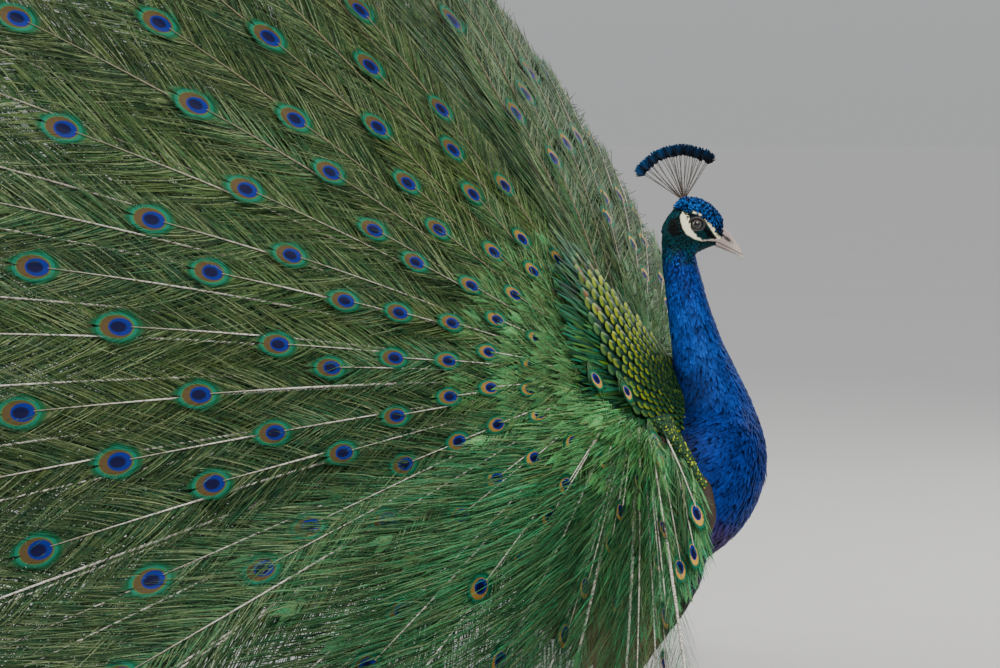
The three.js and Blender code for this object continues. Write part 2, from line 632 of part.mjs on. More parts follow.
function trainFeathers(side, spread) {
  const bundles = { upper: [], side: [], lower: [] };
  const place = (length, first, step, offset, feather) => {
    const sheet = fanSheet(side, offset);
    for (let angle = first; angle <= spread; angle += step) {
      const at = clearOfSeams(Math.min(spread, angle + VANE.jitter * jitter()));
      const wanted = length * (1 + 0.015 * jitter());
      const reach = reachAboveFloor(sheet, at, wanted + FLOOR_OVERLAP);
      const resting = reach < wanted;
      if (resting && reach < FLOOR_SHARE * wanted) continue;
      bundles[sectorOf(at)].push(feather(sheet, at, resting ? reach + FLOOR_OVERLAP : wanted));
    }
  };
  TIERS.forEach(([length, first, step], i) => {
    const shift = side < 0 ? 0 : step / 2;
    let start = i === 0 ? first : Math.max(SEAM_MARGIN[0], (first + shift) % step);
    while (side > 0 && start < (LEFT_START[i] ?? 0)) start += step;
    place(length, start, step, FAN.frontOffset - i * FAN.tierStep, eyespotFeather);
  });
  const rimOffset = FAN.frontOffset - TIERS.length * FAN.tierStep;
  place(FISHTAIL.length, FISHTAIL.first, FISHTAIL.step, rimOffset, forkedFeather);
  return bundles;
}

/** Ridge that carries the low feathers of the right side, from the drum to the flank. */
function flankRidge(grow = 0) {
  const rings = [];
  const start = drumRoot(RIGHT_LOW.from, -1, 0);
  const axis = RIGHT_LOW.rootAt.clone().sub(start).normalize();
  const across = axis.clone().cross(UP).normalize();
  const up = across.clone().cross(axis);
  const { ridgeStart, ridgeEnd, ridgeRadius } = RIGHT_LOW;
  const shape = [[ridgeStart, 0.8], [0.3, 1], [0.9, 1], [ridgeEnd, 0.8], [ridgeEnd + 0.08, 0.4]];
  for (const [t, share] of shape) {
    const centre = start.clone().lerp(RIGHT_LOW.rootAt, t).addScaledVector(up, -6);
    const wide = ridgeRadius * share;
    rings.push(ring(centre, across, up, wide + grow, wide * 0.8 + grow, 12));
  }
  return loft(rings);
}

const floorBlock = fromGeometry(new THREE.BoxGeometry(5000, 5000, 100)).translate([0, 0, -50]);
const sectorEnd = (i, side) => (i + 1 < SEAMS.length ? SEAMS[i + 1] : SPREAD[side]);
const sideSector = drumWedge(SEAMS[1], SEAMS[2], -1, DRUM.front + 40, DRUM.back - 40, -GAP / 2, 60);
const ridge = flankRidge().subtract(sideSector);
for (const [sideName, side] of Object.entries(sides)) {
  const bundles = trainFeathers(side, SPREAD[sideName] - 3);
  SECTOR_NAMES.forEach((name, i) => {
    const wedge = drumWedge(SEAMS[i], sectorEnd(i, sideName), side, DRUM.front, DRUM.back);
    const pieces = [wedge, ...bundles[name]];
    if (side < 0 && name === 'lower') pieces.push(ridge);
    const body = union(pieces).subtract(torsoCut).subtract(floorBlock);
    bird.add(mesh(`train_${sideName}_${name}`, body, COLOURS.green));
  });
}

// Tail: stiff feathers in two layers behind the train
const tailPieces = [drumCap(DRUM.back - GAP, TAIL.back)];
for (const side of Object.values(sides)) {
  for (let i = 0; i < TAIL.perSide; i++) {
    const sheet = fanSheet(side, TAIL.offset - TAIL.layer * (i % 2));
    const length = TAIL.reach * (1 - 0.02 * i);
    tailPieces.push(sheetVane(sheet, TAIL.first + TAIL.step * i, [
      [-VANE.sink, TAIL.rootHalf, TAIL.rootThick], [TAIL.wideFrom, TAIL.half, TAIL.thick],
      [length - 14, TAIL.half * 0.85, TAIL.thick]], length));
  }
}
bird.add(mesh('tail', union(tailPieces).subtract(torsoCut), COLOURS.brown));

// Mantle
const [leanCos, leanSin] = [Math.cos(MANTLE.axisLean), Math.sin(MANTLE.axisLean)];
const MANTLE_AXIS = vec(leanCos, 0, leanSin).applyAxisAngle(UP, MANTLE.axisTurn);
const MANTLE_UP = vec(-leanSin, 0, leanCos).applyAxisAngle(UP, MANTLE.axisTurn);
const MANTLE_LEFT = LEFT.clone().applyAxisAngle(UP, MANTLE.axisTurn);

/** Sheet of the mantle at one offset along its axis. Angles run from the top, positive to the left. */
function mantleSheet(offset) {
  return (angle, s) => {
    const a = deg(angle);
    const out = MANTLE_UP.clone().multiplyScalar(Math.cos(a)).addScaledVector(MANTLE_LEFT, Math.sin(a));
    const point = MANTLE.hub.clone().addScaledVector(MANTLE_AXIS, offset);
    const pieces = 12;
    for (let i = 0; i < pieces; i++) {
      const at = ((i + 0.5) * s) / pieces;
      const swept = MANTLE.sweep * Math.sin(a) ** 2 * Math.min(1, at / MANTLE.sweepBy);
      const g = deg(swept + (MANTLE.bend * at) / MANTLE.bendBy);
      point.addScaledVector(out, (s / pieces) * Math.cos(g));
      point.addScaledVector(MANTLE_AXIS, (-s / pieces) * Math.sin(g));
    }
    return point;
  };
}

function collarSolid() {
  const { from, to, front, back, right, left, columns } = MANTLE.collar;
  const [near, far] = [mantleSheet(front), mantleSheet(-back)];
  const rings = [];
  for (let i = 0; i <= columns; i++) {
    const angle = -right + ((right + left) * i) / columns;
    const edge = near(angle, to - 2).lerp(far(angle, to), 0.35);
    rings.push([near(angle, from), near(angle, to - 10), edge, far(angle, to - 4), far(angle, from)]);
  }
  return loft(rings);
}
const mantlePieces = [collarSolid()];
MANTLE.tiers.forEach(([length, leftEnd], tier) => {
  const { collar, step, thick, root, sink } = MANTLE;
  const count = Math.round(collar.right / step);
  for (let i = -count; i <= count; i++) {
    const angle = (i + 0.5 * (tier % 2)) * step + 1.5 * jitter();
    if (angle < -collar.right + collar.margin || angle > leftEnd - collar.margin) continue;
    const share = rowAt(MANTLE.reach[angle < 0 ? 'right' : 'left'], Math.abs(angle))[1];
    const reach = length * share + 3 * jitter();
    if (reach < root + MANTLE.shortest) continue;
    const sheet = mantleSheet(-tier * MANTLE.tierGap - MANTLE.subLayer * Math.abs(i % 2));
    const wide = MANTLE.half * Math.min(1, reach / MANTLE.wideFrom);
    mantlePieces.push(sheetVane(sheet, angle, [[root - sink, 5, 0.9],
      [reach - 1.15 * wide, wide, thick], [reach - 0.3 * wide, wide * 0.7, thick * 0.8]], reach));
  }
});
const drumCut = loft([DRUM.back - 40, DRUM.front + DRUM.clear].map((at) => {
  const centre = FAN.centre.clone().addScaledVector(FAN_AXIS, at);
  return ring(centre, FAN_UP, FAN_LEFT, FAN.rootUp + DRUM.clear, FAN.rootSide + DRUM.clear, 28);
}));
const ridgeCut = flankRidge(1);
const mantleCuts = [torsoCut, neckCut, drumCut, ridgeCut];
const mantle = mantleCuts.reduce((body, cut) => body.subtract(cut), union(mantlePieces));
bird.add(mesh('mantle', mantle, COLOURS.gold));

// Wings
/** Half width of the torso at a place along it. */
function torsoHalfWidth(x) {
  const k = TORSO.findIndex((row) => row[0] <= x);
  const [before, after] = [TORSO[Math.max(0, k - 1)], TORSO[k]];
  return before[3] + ((after[3] - before[3]) * (x - before[0])) / (after[0] - before[0] || 1);
}

function wingSolid(side) {
  const middle = (x) => torsoHalfWidth(x) + WING.thickness / 2 - WING.sunk;
  const plate = WING.plate.map(([x, top, bottom]) => {
    const centre = vec(x, side * middle(x), (top + bottom) / 2);
    return ring(centre, LEFT, UP, WING.thickness / 2, (top - bottom) / 2, 12);
  });
  const pieces = [loft(plate)];
  const row = (share, count, half, rise, lift, outward) => {
    for (let i = 0; i < count; i++) {
      const t = i / (count - 1);
      const mix = (a, b) => a + (b - a) * t;
      const dip = deg(mix(WING.firstDip, WING.lastDip));
      const x = mix(WING.firstRoot[0], WING.lastRoot[0]);
      const direction = vec(-Math.cos(dip), side * outward, -Math.sin(dip)).normalize();
      const flat = direction.clone().cross(vec(0, side, 0)).normalize();
      const across = flat.applyAxisAngle(direction, side * deg(WING.shingle));
      const root = vec(x, side * (middle(x) + lift), mix(WING.firstRoot[1], WING.lastRoot[1]) + rise);
      const length = mix(WING.firstLength, WING.lastLength) * share * (1 + 0.01 * jitter());
      const rows = [[-WING.sink, 4, 1], [length - 16, half * 0.86, WING.thick]];
      if (share === 1) rows.splice(1, 0, [length * WING.widestAt, half, WING.thick]);
      pieces.push(straightVane(root, direction, across, rows, length));
    }
  };
  row(1, WING.count, WING.half, 0, 0, WING.outward);
  for (const covert of COVERTS) row(...covert);
  return union(pieces);
}
for (const [name, side] of Object.entries(sides)) {
  bird.add(mesh(`wing_${name}`, wingSolid(side).subtract(torsoCut).subtract(ridgeCut), COLOURS.rufous));
}

// ---------------------------------------------------------------- feet
/** Ring of a scaled limb: round, with its front raised a little where a scute ends. */
function scuteRing(centre, across, front, wide, deep, raise, count) {
  const points = ring(centre, across, front, wide, deep, count);
  return points.map((p) => {
    const facing = p.clone().sub(centre).normalize().dot(front);
    return p.addScaledVector(front, raise * Math.max(0, facing));
  });
}

/** Joint above the foot, bent backwards, and the ankle where the toes meet. */
function legEnds(name) {
  const [x, y] = FOOT[name];
  return [vec(x - FOOT.hockBack, y, FOOT.hockHeight), vec(x, y, FOOT.ankle)];
}

function legSolid(name, grow = 0) {
  const [hock, ankle] = legEnds(name);
  const along = ankle.clone().sub(hock).normalize();
  const front = vec(0, 0, 0).crossVectors(LEFT, along).negate().normalize();
  const marks = [[SHANK[0][0], 0]];
  const step = 0.82 / SCUTES.count;
  for (let i = 0; i < SCUTES.count; i++) {
    marks.push([0.14 + i * step, 0], [0.14 + (i + 0.93) * step, grow > 0 ? 0 : SCUTES.raise]);
  }
  marks.push([SHANK.at(-1)[0], 0]);
  const rings = marks.map(([t, raise]) => {
    const [, deep, wide] = rowAt(SHANK, t);
    const centre = hock.clone().lerp(ankle, t);
    return scuteRing(centre, LEFT, front, wide + grow, deep + grow, raise, SCUTES.points);
  });
  return loft(rings);
}

function spurSolid(name) {
  const [hock, ankle] = legEnds(name);
  const root = hock.lerp(ankle, SPUR.up);
  const direction = vec(-0.8, Math.sign(ankle.y) * -0.35, 0.1).normalize();
  const across = LEFT.clone().cross(direction).normalize();
  const { length, half, tip } = SPUR;
  const rows = [[0, half, half], [length * 0.7, half * 0.7, half * 0.7]];
  return straightVane(root, direction, across, rows, length + tip);
}

/** Toe with scutes on top and a curved claw, its underside on the floor. */
function toeSolid(start, turn, length, width) {
  const forward = vec(Math.cos(turn), Math.sin(turn), 0);
  const across = vec(-Math.sin(turn), Math.cos(turn), 0);
  const marks = [[0, 0]];
  const step = 0.62 / SCUTES.toes;
  for (let i = 0; i < SCUTES.toes; i++) {
    marks.push([0.16 + i * step, 0], [0.16 + (i + 0.9) * step, SCUTES.toeRaise]);
  }
  marks.push([0.84, 0], [0.94, 0], [1, 0]);
  const rings = marks.map(([t, raise]) => {
    const [, share, up] = rowAt(TOE, t);
    const centre = start.clone().addScaledVector(forward, t * length).setZ(up);
    return scuteRing(centre, across, UP, share * width, up + 0.6, raise, SCUTES.points);
  });
  return loft(rings);
}

for (const name of ['right', 'left']) {
  const pieces = [legSolid(name), spurSolid(name)];
  const start = legEnds(name)[1];
  for (const [turn, length, width] of TOES) pieces.push(toeSolid(start, deg(turn), length, width));
  bird.add(mesh(`leg_${name}`, union(pieces).subtract(floorBlock), COLOURS.grey));
}

function thighSolid(name) {
  const [x, y] = FOOT[name];
  const hock = vec(x - FOOT.hockBack, y, FOOT.hockHeight + 10);
  const hip = vec(x + FOOT.kneeForward, y * 0.85, FOOT.kneeHeight);
  const rings = THIGH.map(([t, deep, wide]) =>
    ring(hock.clone().lerp(hip, t), LEFT, vec(1, 0, 0), wide, deep, 14));
  return loft(rings).subtract(torsoCut).subtract(legSolid(name, GAP));
}
for (const name of ['right', 'left']) bird.add(mesh(`thigh_${name}`, thighSolid(name), COLOURS.belly));

bird.updateMatrixWorld(true);
const box = new THREE.Box3().setFromObject(bird);
bird.position.set(-(box.min.x + box.max.x) / 2, -(box.min.y + box.max.y) / 2, -box.min.z);

export default bird;
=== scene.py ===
import math

import bmesh
import bpy
import numpy as np
from mathutils import Matrix, Vector
from mathutils.bvhtree import BVHTree


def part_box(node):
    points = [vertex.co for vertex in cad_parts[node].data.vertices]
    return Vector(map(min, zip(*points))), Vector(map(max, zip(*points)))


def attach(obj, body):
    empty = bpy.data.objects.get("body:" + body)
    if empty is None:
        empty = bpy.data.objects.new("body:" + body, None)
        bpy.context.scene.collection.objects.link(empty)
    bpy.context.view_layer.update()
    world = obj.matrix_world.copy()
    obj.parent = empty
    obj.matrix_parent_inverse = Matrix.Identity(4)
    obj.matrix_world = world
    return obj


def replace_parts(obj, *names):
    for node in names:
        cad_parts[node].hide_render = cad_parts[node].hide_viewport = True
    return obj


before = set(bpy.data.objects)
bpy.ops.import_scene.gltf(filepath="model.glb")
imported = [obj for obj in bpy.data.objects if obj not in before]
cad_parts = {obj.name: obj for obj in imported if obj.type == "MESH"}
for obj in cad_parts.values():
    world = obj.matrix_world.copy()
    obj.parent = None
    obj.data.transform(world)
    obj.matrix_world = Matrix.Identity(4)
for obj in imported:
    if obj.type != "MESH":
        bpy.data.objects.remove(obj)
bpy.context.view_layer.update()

rng = np.random.default_rng(7013)
DEG = math.pi / 180
UP = np.array([0.0, 0.0, 1.0])
LEFT = np.array([0.0, 1.0, 0.0])
AHEAD = np.array([1.0, 0.0, 0.0])
SIDES = ((-1, "right"), (1, "left"))
SECTORS = ("upper", "side", "lower")


# ---------------------------------------------------------------- the bird's own frame
# The bird is laid out with its origin on the floor between the feet, in metres; SHIFT takes that to the frame.
HEAD_CENTRE = np.array([0.047, 0.0, 0.714])
HEAD_TURN = 10 * DEG


def turned(v, angle):
    """Vectors turned about the vertical."""
    v = np.asarray(v, float)
    c, s = math.cos(angle), math.sin(angle)
    return np.stack([v[..., 0] * c - v[..., 1] * s, v[..., 0] * s + v[..., 1] * c, v[..., 2]], -1)


def head_point(along, left, up):
    """Point of the head's own frame, in millimetres along it, to its left and up."""
    return turned(np.array([along, left, up]) / 1000, HEAD_TURN) + HEAD_CENTRE


EYE = dict(along=3.0, up=4.6, side=15.2, radius=7.6)


def box_middle(node):
    low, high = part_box(node)
    return (np.array(low) + np.array(high)) / 2


SHIFT = box_middle("eye_right") - head_point(EYE["along"], -EYE["side"], EYE["up"])


# ---------------------------------------------------------------- meshes
def unit(v):
    return v / np.maximum(np.linalg.norm(v, axis=-1, keepdims=True), 1e-12)


def smoothstep(x, low, high):
    x = np.clip((np.asarray(x, float) - low) / (high - low), 0, 1)
    return x * x * (3 - 2 * x)


def rows_mm(rows):
    return np.array(rows, float) / 1000


def flattened(way, normal):
    """Each vector without its part along the normal."""
    return way - normal * np.sum(way * normal, -1, keepdims=True)


def ring_quads(rings, count):
    """Quads between neighbouring closed rings of count points."""
    a = np.arange((rings - 1) * count).reshape(rings - 1, count)
    b = np.roll(a, -1, 1)
    return np.stack([a, b, b + count, a + count], -1).reshape(-1, 4)


def grid_quads(rows, columns):
    """Quads of an open grid, row by row."""
    a = np.arange((rows - 1) * columns).reshape(rows - 1, columns)[:, :-1].ravel()
    return np.stack([a, a + 1, a + columns + 1, a + columns], -1)


def values_of(items, name, width, kind=np.float32):
    """One value of every item of a mesh's collection, width numbers each."""
    values = np.empty(len(items) * width, kind)
    items.foreach_get(name, values)
    return values.reshape(-1, width)


def add_maps(data, maps):
    """UV maps by name, one row of values a corner."""
    for label, values in maps.items():
        data.uv_layers.new(name=label).uv.foreach_set("vector", values.astype(np.float32).ravel())


def add_shade(data, colours):
    """The colour that the materials read, one a vertex."""
    rgba = np.concatenate([colours, np.ones((len(colours), 1))], 1).astype(np.float32)
    data.attributes.new("shade", "FLOAT_COLOR", "POINT").data.foreach_set("color", rgba.ravel())


def placed(name, data):
    thing = bpy.data.objects.new(name, data)
    bpy.context.scene.collection.objects.link(thing)
    return thing


def worn(name, data):
    """Piece that rides on the bird."""
    piece = placed(name, data)
    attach(piece, "root")
    return piece


class Bag:
    """Collects vertices, quads and triangles with their values, and makes one mesh of them."""

    def __init__(self):
        self.points, self.quads, self.tris, self.vane, self.bake, self.tint, self.count = [], [], [], [], [], [], 0

    def add(self, points, quads, tris, vane, bake, tint):
        """tint is a value from 0 to 1 for each vertex, vane and bake are two coordinates each."""
        points = points.reshape(-1, 3)
        if len(quads):
            self.quads.append(np.asarray(quads).reshape(-1, 4) + self.count)
        if len(tris):
            self.tris.append(np.asarray(tris).reshape(-1, 3) + self.count)
        self.points.append(points)
        self.vane.append(np.broadcast_to(vane, (len(points), 2)) if np.ndim(vane) < 2 else vane.reshape(-1, 2))
        self.bake.append(bake.reshape(-1, 2))
        self.tint.append(np.broadcast_to(tint, (len(points),)) if np.ndim(tint) == 0 else tint.reshape(-1))
        self.count += len(points)

    def mesh(self, name, material, slot, colours=None):
        points = np.concatenate(self.points) + SHIFT
        quads = np.concatenate(self.quads) if self.quads else np.zeros((0, 4), int)
        tris = np.concatenate(self.tris) if self.tris else np.zeros((0, 3), int)
        corners = np.concatenate([quads.ravel(), tris.ravel()]).astype(np.int32)
        sizes = np.concatenate([np.full(len(quads), 4), np.full(len(tris), 3)]).astype(np.int32)
        starts = np.concatenate([[0], np.cumsum(sizes)[:-1]]).astype(np.int32)
        data = bpy.data.meshes.new(name)
        data.vertices.add(len(points))
        data.vertices.foreach_set("co", points.astype(np.float32).ravel())
        data.loops.add(len(corners))
        data.loops.foreach_set("vertex_index", corners)
        data.polygons.add(len(sizes))
        data.polygons.foreach_set("loop_start", starts)
        data.polygons.foreach_set("use_smooth", np.ones(len(sizes), bool))
        add_maps(data, {"OFBake": np.concatenate(self.bake)[corners], "vane": np.concatenate(self.vane)[corners]})
        tint = data.attributes.new("tint", "FLOAT", "POINT")
        tint.data.foreach_set("value", np.concatenate(self.tint).astype(np.float32))
        if colours is not None:
            add_shade(data, np.concatenate(colours))
        data.update()
        data.validate()
        data.materials.append(material)
        return worn(name, data)


# ---------------------------------------------------------------- materials
class Tree:
    """Short way to write a material's nodes."""

    def __init__(self, name):
        self.material = bpy.data.materials.new(name)
        self.material.use_nodes = True
        self.nodes, self.links = self.material.node_tree.nodes, self.material.node_tree.links
        self.shader = self.nodes["Principled BSDF"]

    def put(self, socket, value):
        if hasattr(value, "is_output"):
            self.links.new(value, socket)
        elif isinstance(value, (tuple, list)) and len(value) == 3 and len(socket.default_value) == 4:
            socket.default_value = (*value, 1)
        else:
            socket.default_value = value

    def make(self, kind, inputs=(), out=0, **settings):
        node = self.nodes.new(kind)
        for key, value in settings.items():
            setattr(node, key, value)
        for key, value in dict(inputs).items():
            self.put(node.inputs[key], value)
        return node.outputs[out]

    def math(self, operation, a, b=0.0, c=0.0):
        return self.make("ShaderNodeMath", {0: a, 1: b, 2: c}, operation=operation)

    def mix(self, share, a, b, blend="MIX"):
        node = self.nodes.new("ShaderNodeMix")
        node.data_type, node.blend_type = "RGBA", blend
        self.put(node.inputs[0], share)
        self.put(node.inputs[6], a)
        self.put(node.inputs[7], b)
        return node.outputs[2]

    def step(self, value, low, high, to_low=0.0, to_high=1.0):
        """Smooth step of a value between two limits."""
        return self.make("ShaderNodeMapRange", {0: value, 1: low, 2: high, 3: to_low, 4: to_high},
                         interpolation_type="SMOOTHSTEP")

    def noise(self, scale, detail=3.0, vector=None):
        inputs = {"Scale": scale, "Detail": detail}
        if vector is not None:
            inputs["Vector"] = vector
        return self.make("ShaderNodeTexNoise", inputs)

    def attribute(self, name, out=2):
        return self.make("ShaderNodeAttribute", attribute_name=name, out=out)

    def vane(self):
        """The two coordinates of the map that lies along each feather."""
        node = self.nodes.new("ShaderNodeUVMap")
        node.uv_map = "vane"
        split = self.nodes.new("ShaderNodeSeparateXYZ")
        self.links.new(node.outputs[0], split.inputs[0])
        return split.outputs[0], split.outputs[1]

    def bump(self, height, strength, distance):
        return self.make("ShaderNodeBump", {"Height": height, "Strength": strength, "Distance": distance})

    def finish(self, colour, roughness=0.5, metallic=0.0, normal=None, **sockets):
        self.put(self.shader.inputs["Base Color"], colour)
        self.put(self.shader.inputs["Roughness"], roughness)
        self.put(self.shader.inputs["Metallic"], metallic)
        if normal is not None:
            self.put(self.shader.inputs["Normal"], normal)
        for key, value in sockets.items():
            self.put(self.shader.inputs[key.replace("_", " ")], value)
        return self.material


def ellipse(t, u, v, wide, long, centre=0.0):
    """Distance from a spot's middle, 1 on an ellipse of the given half width and half length."""
    a = t.math("DIVIDE", u, wide)
    b = t.math("DIVIDE", t.math("SUBTRACT", v, centre), long)
    return t.math("SQRT", t.math("ADD", t.math("MULTIPLY", a, a), t.math("MULTIPLY", b, b)))


def train_material():
    """Loose green barbs; near the tip an eyespot, drawn in the map where 1 is the half width of its head."""
    t = Tree("train_barbs")
    u, v = t.vane()
    tint = t.attribute("tint")
    shade = t.attribute("shade", out=0)
    grain = t.noise(60.0, 2.0)
    colour = t.mix(t.step(grain, 0.35, 0.7, 0.0, 0.30), shade, (0.17, 0.20, 0.055))
    # Painted highlight: barbs with a high tint are mixed towards pale olive, as glossy strands that catch the light.
    colour = t.mix(t.step(tint, 0.62, 1.0, 0.0, 0.52), colour, (0.26, 0.30, 0.155))
    colour = t.mix(t.step(tint, 0.0, 0.42, 0.85, 0.0), colour, (0.003, 0.014, 0.008))
    colour = t.mix(t.step(t.noise(260.0, 1.0), 0.50, 0.66, 0.0, 0.50), colour, (0.006, 0.020, 0.010))
    outer = ellipse(t, u, v, 0.56, 0.76)
    colour = t.mix(t.step(outer, 1.75, 1.45), colour, (0.006, 0.085, 0.034))
    colour = t.mix(t.step(outer, 1.36, 1.26), colour, (0.006, 0.150, 0.088))
    colour = t.mix(t.step(outer, 1.12, 1.06), colour, (0.060, 0.150, 0.040))
    place = t.make("ShaderNodeSeparateXYZ", {0: t.make("ShaderNodeNewGeometry")})
    golden = t.step(place, SHIFT[0] - 0.30, SHIFT[0] + 0.02)
    colour = t.mix(t.step(outer, 1.05, 0.98), colour, t.mix(golden, (0.085, 0.058, 0.022), (0.60, 0.34, 0.065)))
    inner = ellipse(t, u, v, 0.43, 0.55, -0.17)
    colour = t.mix(t.step(inner, 1.06, 0.97), colour, (0.003, 0.016, 0.190))
    heart = ellipse(t, u, v, 0.27, 0.38, -0.08)
    colour = t.mix(t.step(heart, 1.2, 0.8), colour, (0.003, 0.003, 0.034))
    roughness, metallic = t.step(outer, 1.7, 1.2, 0.50, 0.55), t.step(outer, 1.4, 1.0, 0.20, 0.10)
    return t.finish(colour, roughness, metallic, Specular_IOR_Level=0.12)


def shaft_material():
    t = Tree("train_shafts")
    _, v = t.vane()
    ticks = t.noise(330.0, 1.0)
    pale = t.mix(t.attribute("tint"), (0.17, 0.15, 0.075), (0.74, 0.69, 0.62))
    colour = t.mix(t.step(ticks, 0.50, 0.62, 0.0, 0.8), pale, (0.13, 0.11, 0.075))
    colour = t.mix(t.step(v, 0.70, 0.98), colour, (0.16, 0.15, 0.09))
    colour = t.mix(t.step(v, 0.11, 0.06), colour, (0.010, 0.050, 0.022))
    return t.finish(colour, 0.42, 0.0, Specular_IOR_Level=0.3)


# ---------------------------------------------------------------- fan of the train
class Fan:
    centre = np.array([-0.050, 0.0, 0.500])
    axis = turned(np.array([math.cos(22 * DEG), 0, math.sin(22 * DEG)]), -28 * DEG)
    up = turned(np.array([-math.sin(22 * DEG), 0, math.cos(22 * DEG)]), -28 * DEG)
    left = turned(np.array([0.0, 1.0, 0.0]), -28 * DEG)
    root_up, root_side, root_share = 0.056, 0.093, 0.8
    sweep_top, bend_top, bend_length = 8.0, 26.0, 0.7
    sweep_side, bend_side = {-1: 18.0, 1: 14.0}, {-1: 38.0, 1: 37.0}
    front, tier_step = 0.034, 0.0053
    right_low = dict(start=100.0, span=60.0, sweep=-8.0, bend=2.0,
                     root=np.array([0.012, -0.116, 0.472]), layer=np.array([0.0, -0.45, 0.2]))
    left_low = dict(start=92.0, span=45.0, sweep=26.0)
    spread = {-1: 163.0, 1: 123.0}
    twist, twist_start, twist_span = 50, 95, 45


def fan_root(angle, side, offset):
    a = angle * DEG * Fan.root_share
    return (Fan.centre + Fan.axis * offset + Fan.up * Fan.root_up * math.cos(a)
            + Fan.left * side * Fan.root_side * math.sin(a))


def fan_curve(angle, side, offset, s):
    """Points of a shaft at increasing distances s from its root."""
    a = angle * DEG
    out = Fan.up * math.cos(a) + Fan.left * side * math.sin(a)
    share = math.sin(a) ** 2 if abs(angle) < 90 else 1.0
    sweep = Fan.sweep_top + (Fan.sweep_side[side] - Fan.sweep_top) * share
    bend = Fan.bend_top + (Fan.bend_side[side] - Fan.bend_top) * share
    root = fan_root(angle, side, offset)
    if side < 0:
        low = max(0.0, (angle - Fan.right_low["start"]) / Fan.right_low["span"])
        sweep += (Fan.right_low["sweep"] - Fan.sweep_side[side]) * low
        bend += (Fan.right_low["bend"] - Fan.bend_side[side]) * low
        if low > 0:
            end = Fan.right_low["root"] + Fan.right_low["layer"] * offset
            root = fan_root(Fan.right_low["start"], side, offset) * (1 - low) + end * low
    else:
        sweep += Fan.left_low["sweep"] * max(0.0, (angle - Fan.left_low["start"]) / Fan.left_low["span"])
    g = (sweep + bend * (1 - np.exp(-np.maximum(s, 0) / Fan.bend_length))) * DEG
    steps = out * np.cos(g)[:, None] - Fan.axis * np.sin(g)[:, None]
    middle = (steps[1:] + steps[:-1]) / 2 * np.diff(s)[:, None]
    path = np.concatenate([np.zeros((1, 3)), np.cumsum(middle, 0)])
    zero = np.array([np.interp(0.0, s, path[:, k]) for k in range(3)])
    return root + path - zero


class Line:
    """A shaft with its across and facing directions, read at any distance along it."""

    def __init__(self, s, points, across, facing):
        self.s, self.table = s, np.concatenate([points, across, facing], 1)

    def at(self, s):
        values = np.stack([np.interp(s, self.s, self.table[:, k]) for k in range(9)], -1)
        return values[..., :3], values[..., 3:6], values[..., 6:]

    def place(self, x, y, z):
        """Points at y along the shaft, x across it and z in front of it."""
        point, across, facing = self.at(y)
        return point + across * x[..., None] + facing * z[..., None]


def fan_line(angle, side, offset, length):
    s = np.linspace(-0.02, length + 0.10, 90)
    middle = fan_curve(angle, side, offset, s)
    slope = fan_curve(angle + 0.5, side, offset, s) - fan_curve(angle - 0.5, side, offset, s)
    along = unit(np.gradient(middle, axis=0))
    across = unit(flattened(slope, along)) * side
    facing = unit(np.cross(along, across))
    facing *= np.sign(np.sum(facing * Fan.axis, -1, keepdims=True))
    low = max(0.0, min(1.0, (angle - Fan.twist_start) / Fan.twist_span)) if side < 0 else 0.0
    twist = Fan.twist * DEG * low
    return Line(s, middle, *twisted(across, facing, twist))


def twisted(across, facing, angle):
    """Turn a vane about its shaft so that it faces further forward."""
    way = math.copysign(math.sin(angle), across[:, 0].mean())
    return across * math.cos(angle) - facing * way, facing * math.cos(angle) + across * way


def free_line(root, end, bow, twist):
    """Shaft from a root through another point, bowed out to the right; runs on past that point."""
    root, end = np.array(root), np.array(end)
    length = np.linalg.norm(end - root)
    s = np.linspace(-0.02, length + 0.16, 60)
    out = np.array([0.25, -0.93, 0.25])
    middle = root + (end - root) / length * s[:, None] + out * (bow * 4 * s / length * (1 - s / length))[:, None]
    along = unit(np.gradient(middle, axis=0))
    across = unit(np.cross(out, along))
    facing = np.cross(along, across)
    facing = facing * np.sign(facing @ out)[:, None]
    return Line(s, middle, *twisted(across, facing, twist * DEG)), length


LOWEST_SHAFT = 0.004


def length_above_floor(line, length):
    """How far a shaft runs before it comes too close to the floor."""
    s = np.linspace(0.02, length, 200)
    below = line.at(s)[0][:, 2] < LOWEST_SHAFT
    return s[np.argmax(below)] if below.any() else length


# ---------------------------------------------------------------- feathers made of barbs
# A barb is a ribbon of four cross-edges and a point, at these shares of its length.
BARB_T = np.array([0.0, 0.30, 0.62, 0.86, 1.0])
BARB_WIDTHS = np.array([0.85, 1.0, 0.8, 0.5])
BARB_POINTS = 9
FLOOR_REST, FLOOR_PRESS = 0.012, 0.2  # metres above the floor from where barbs lie down on it, and how flat they lie
WIDEST = 0.09  # metres from the shaft at the edge of a feather's strip in the OFBake map
BARB_QUADS = np.array([[0, 1, 3, 2], [2, 3, 5, 4], [4, 5, 7, 6]])
BARB_TRIS = np.array([[6, 7, 8]])


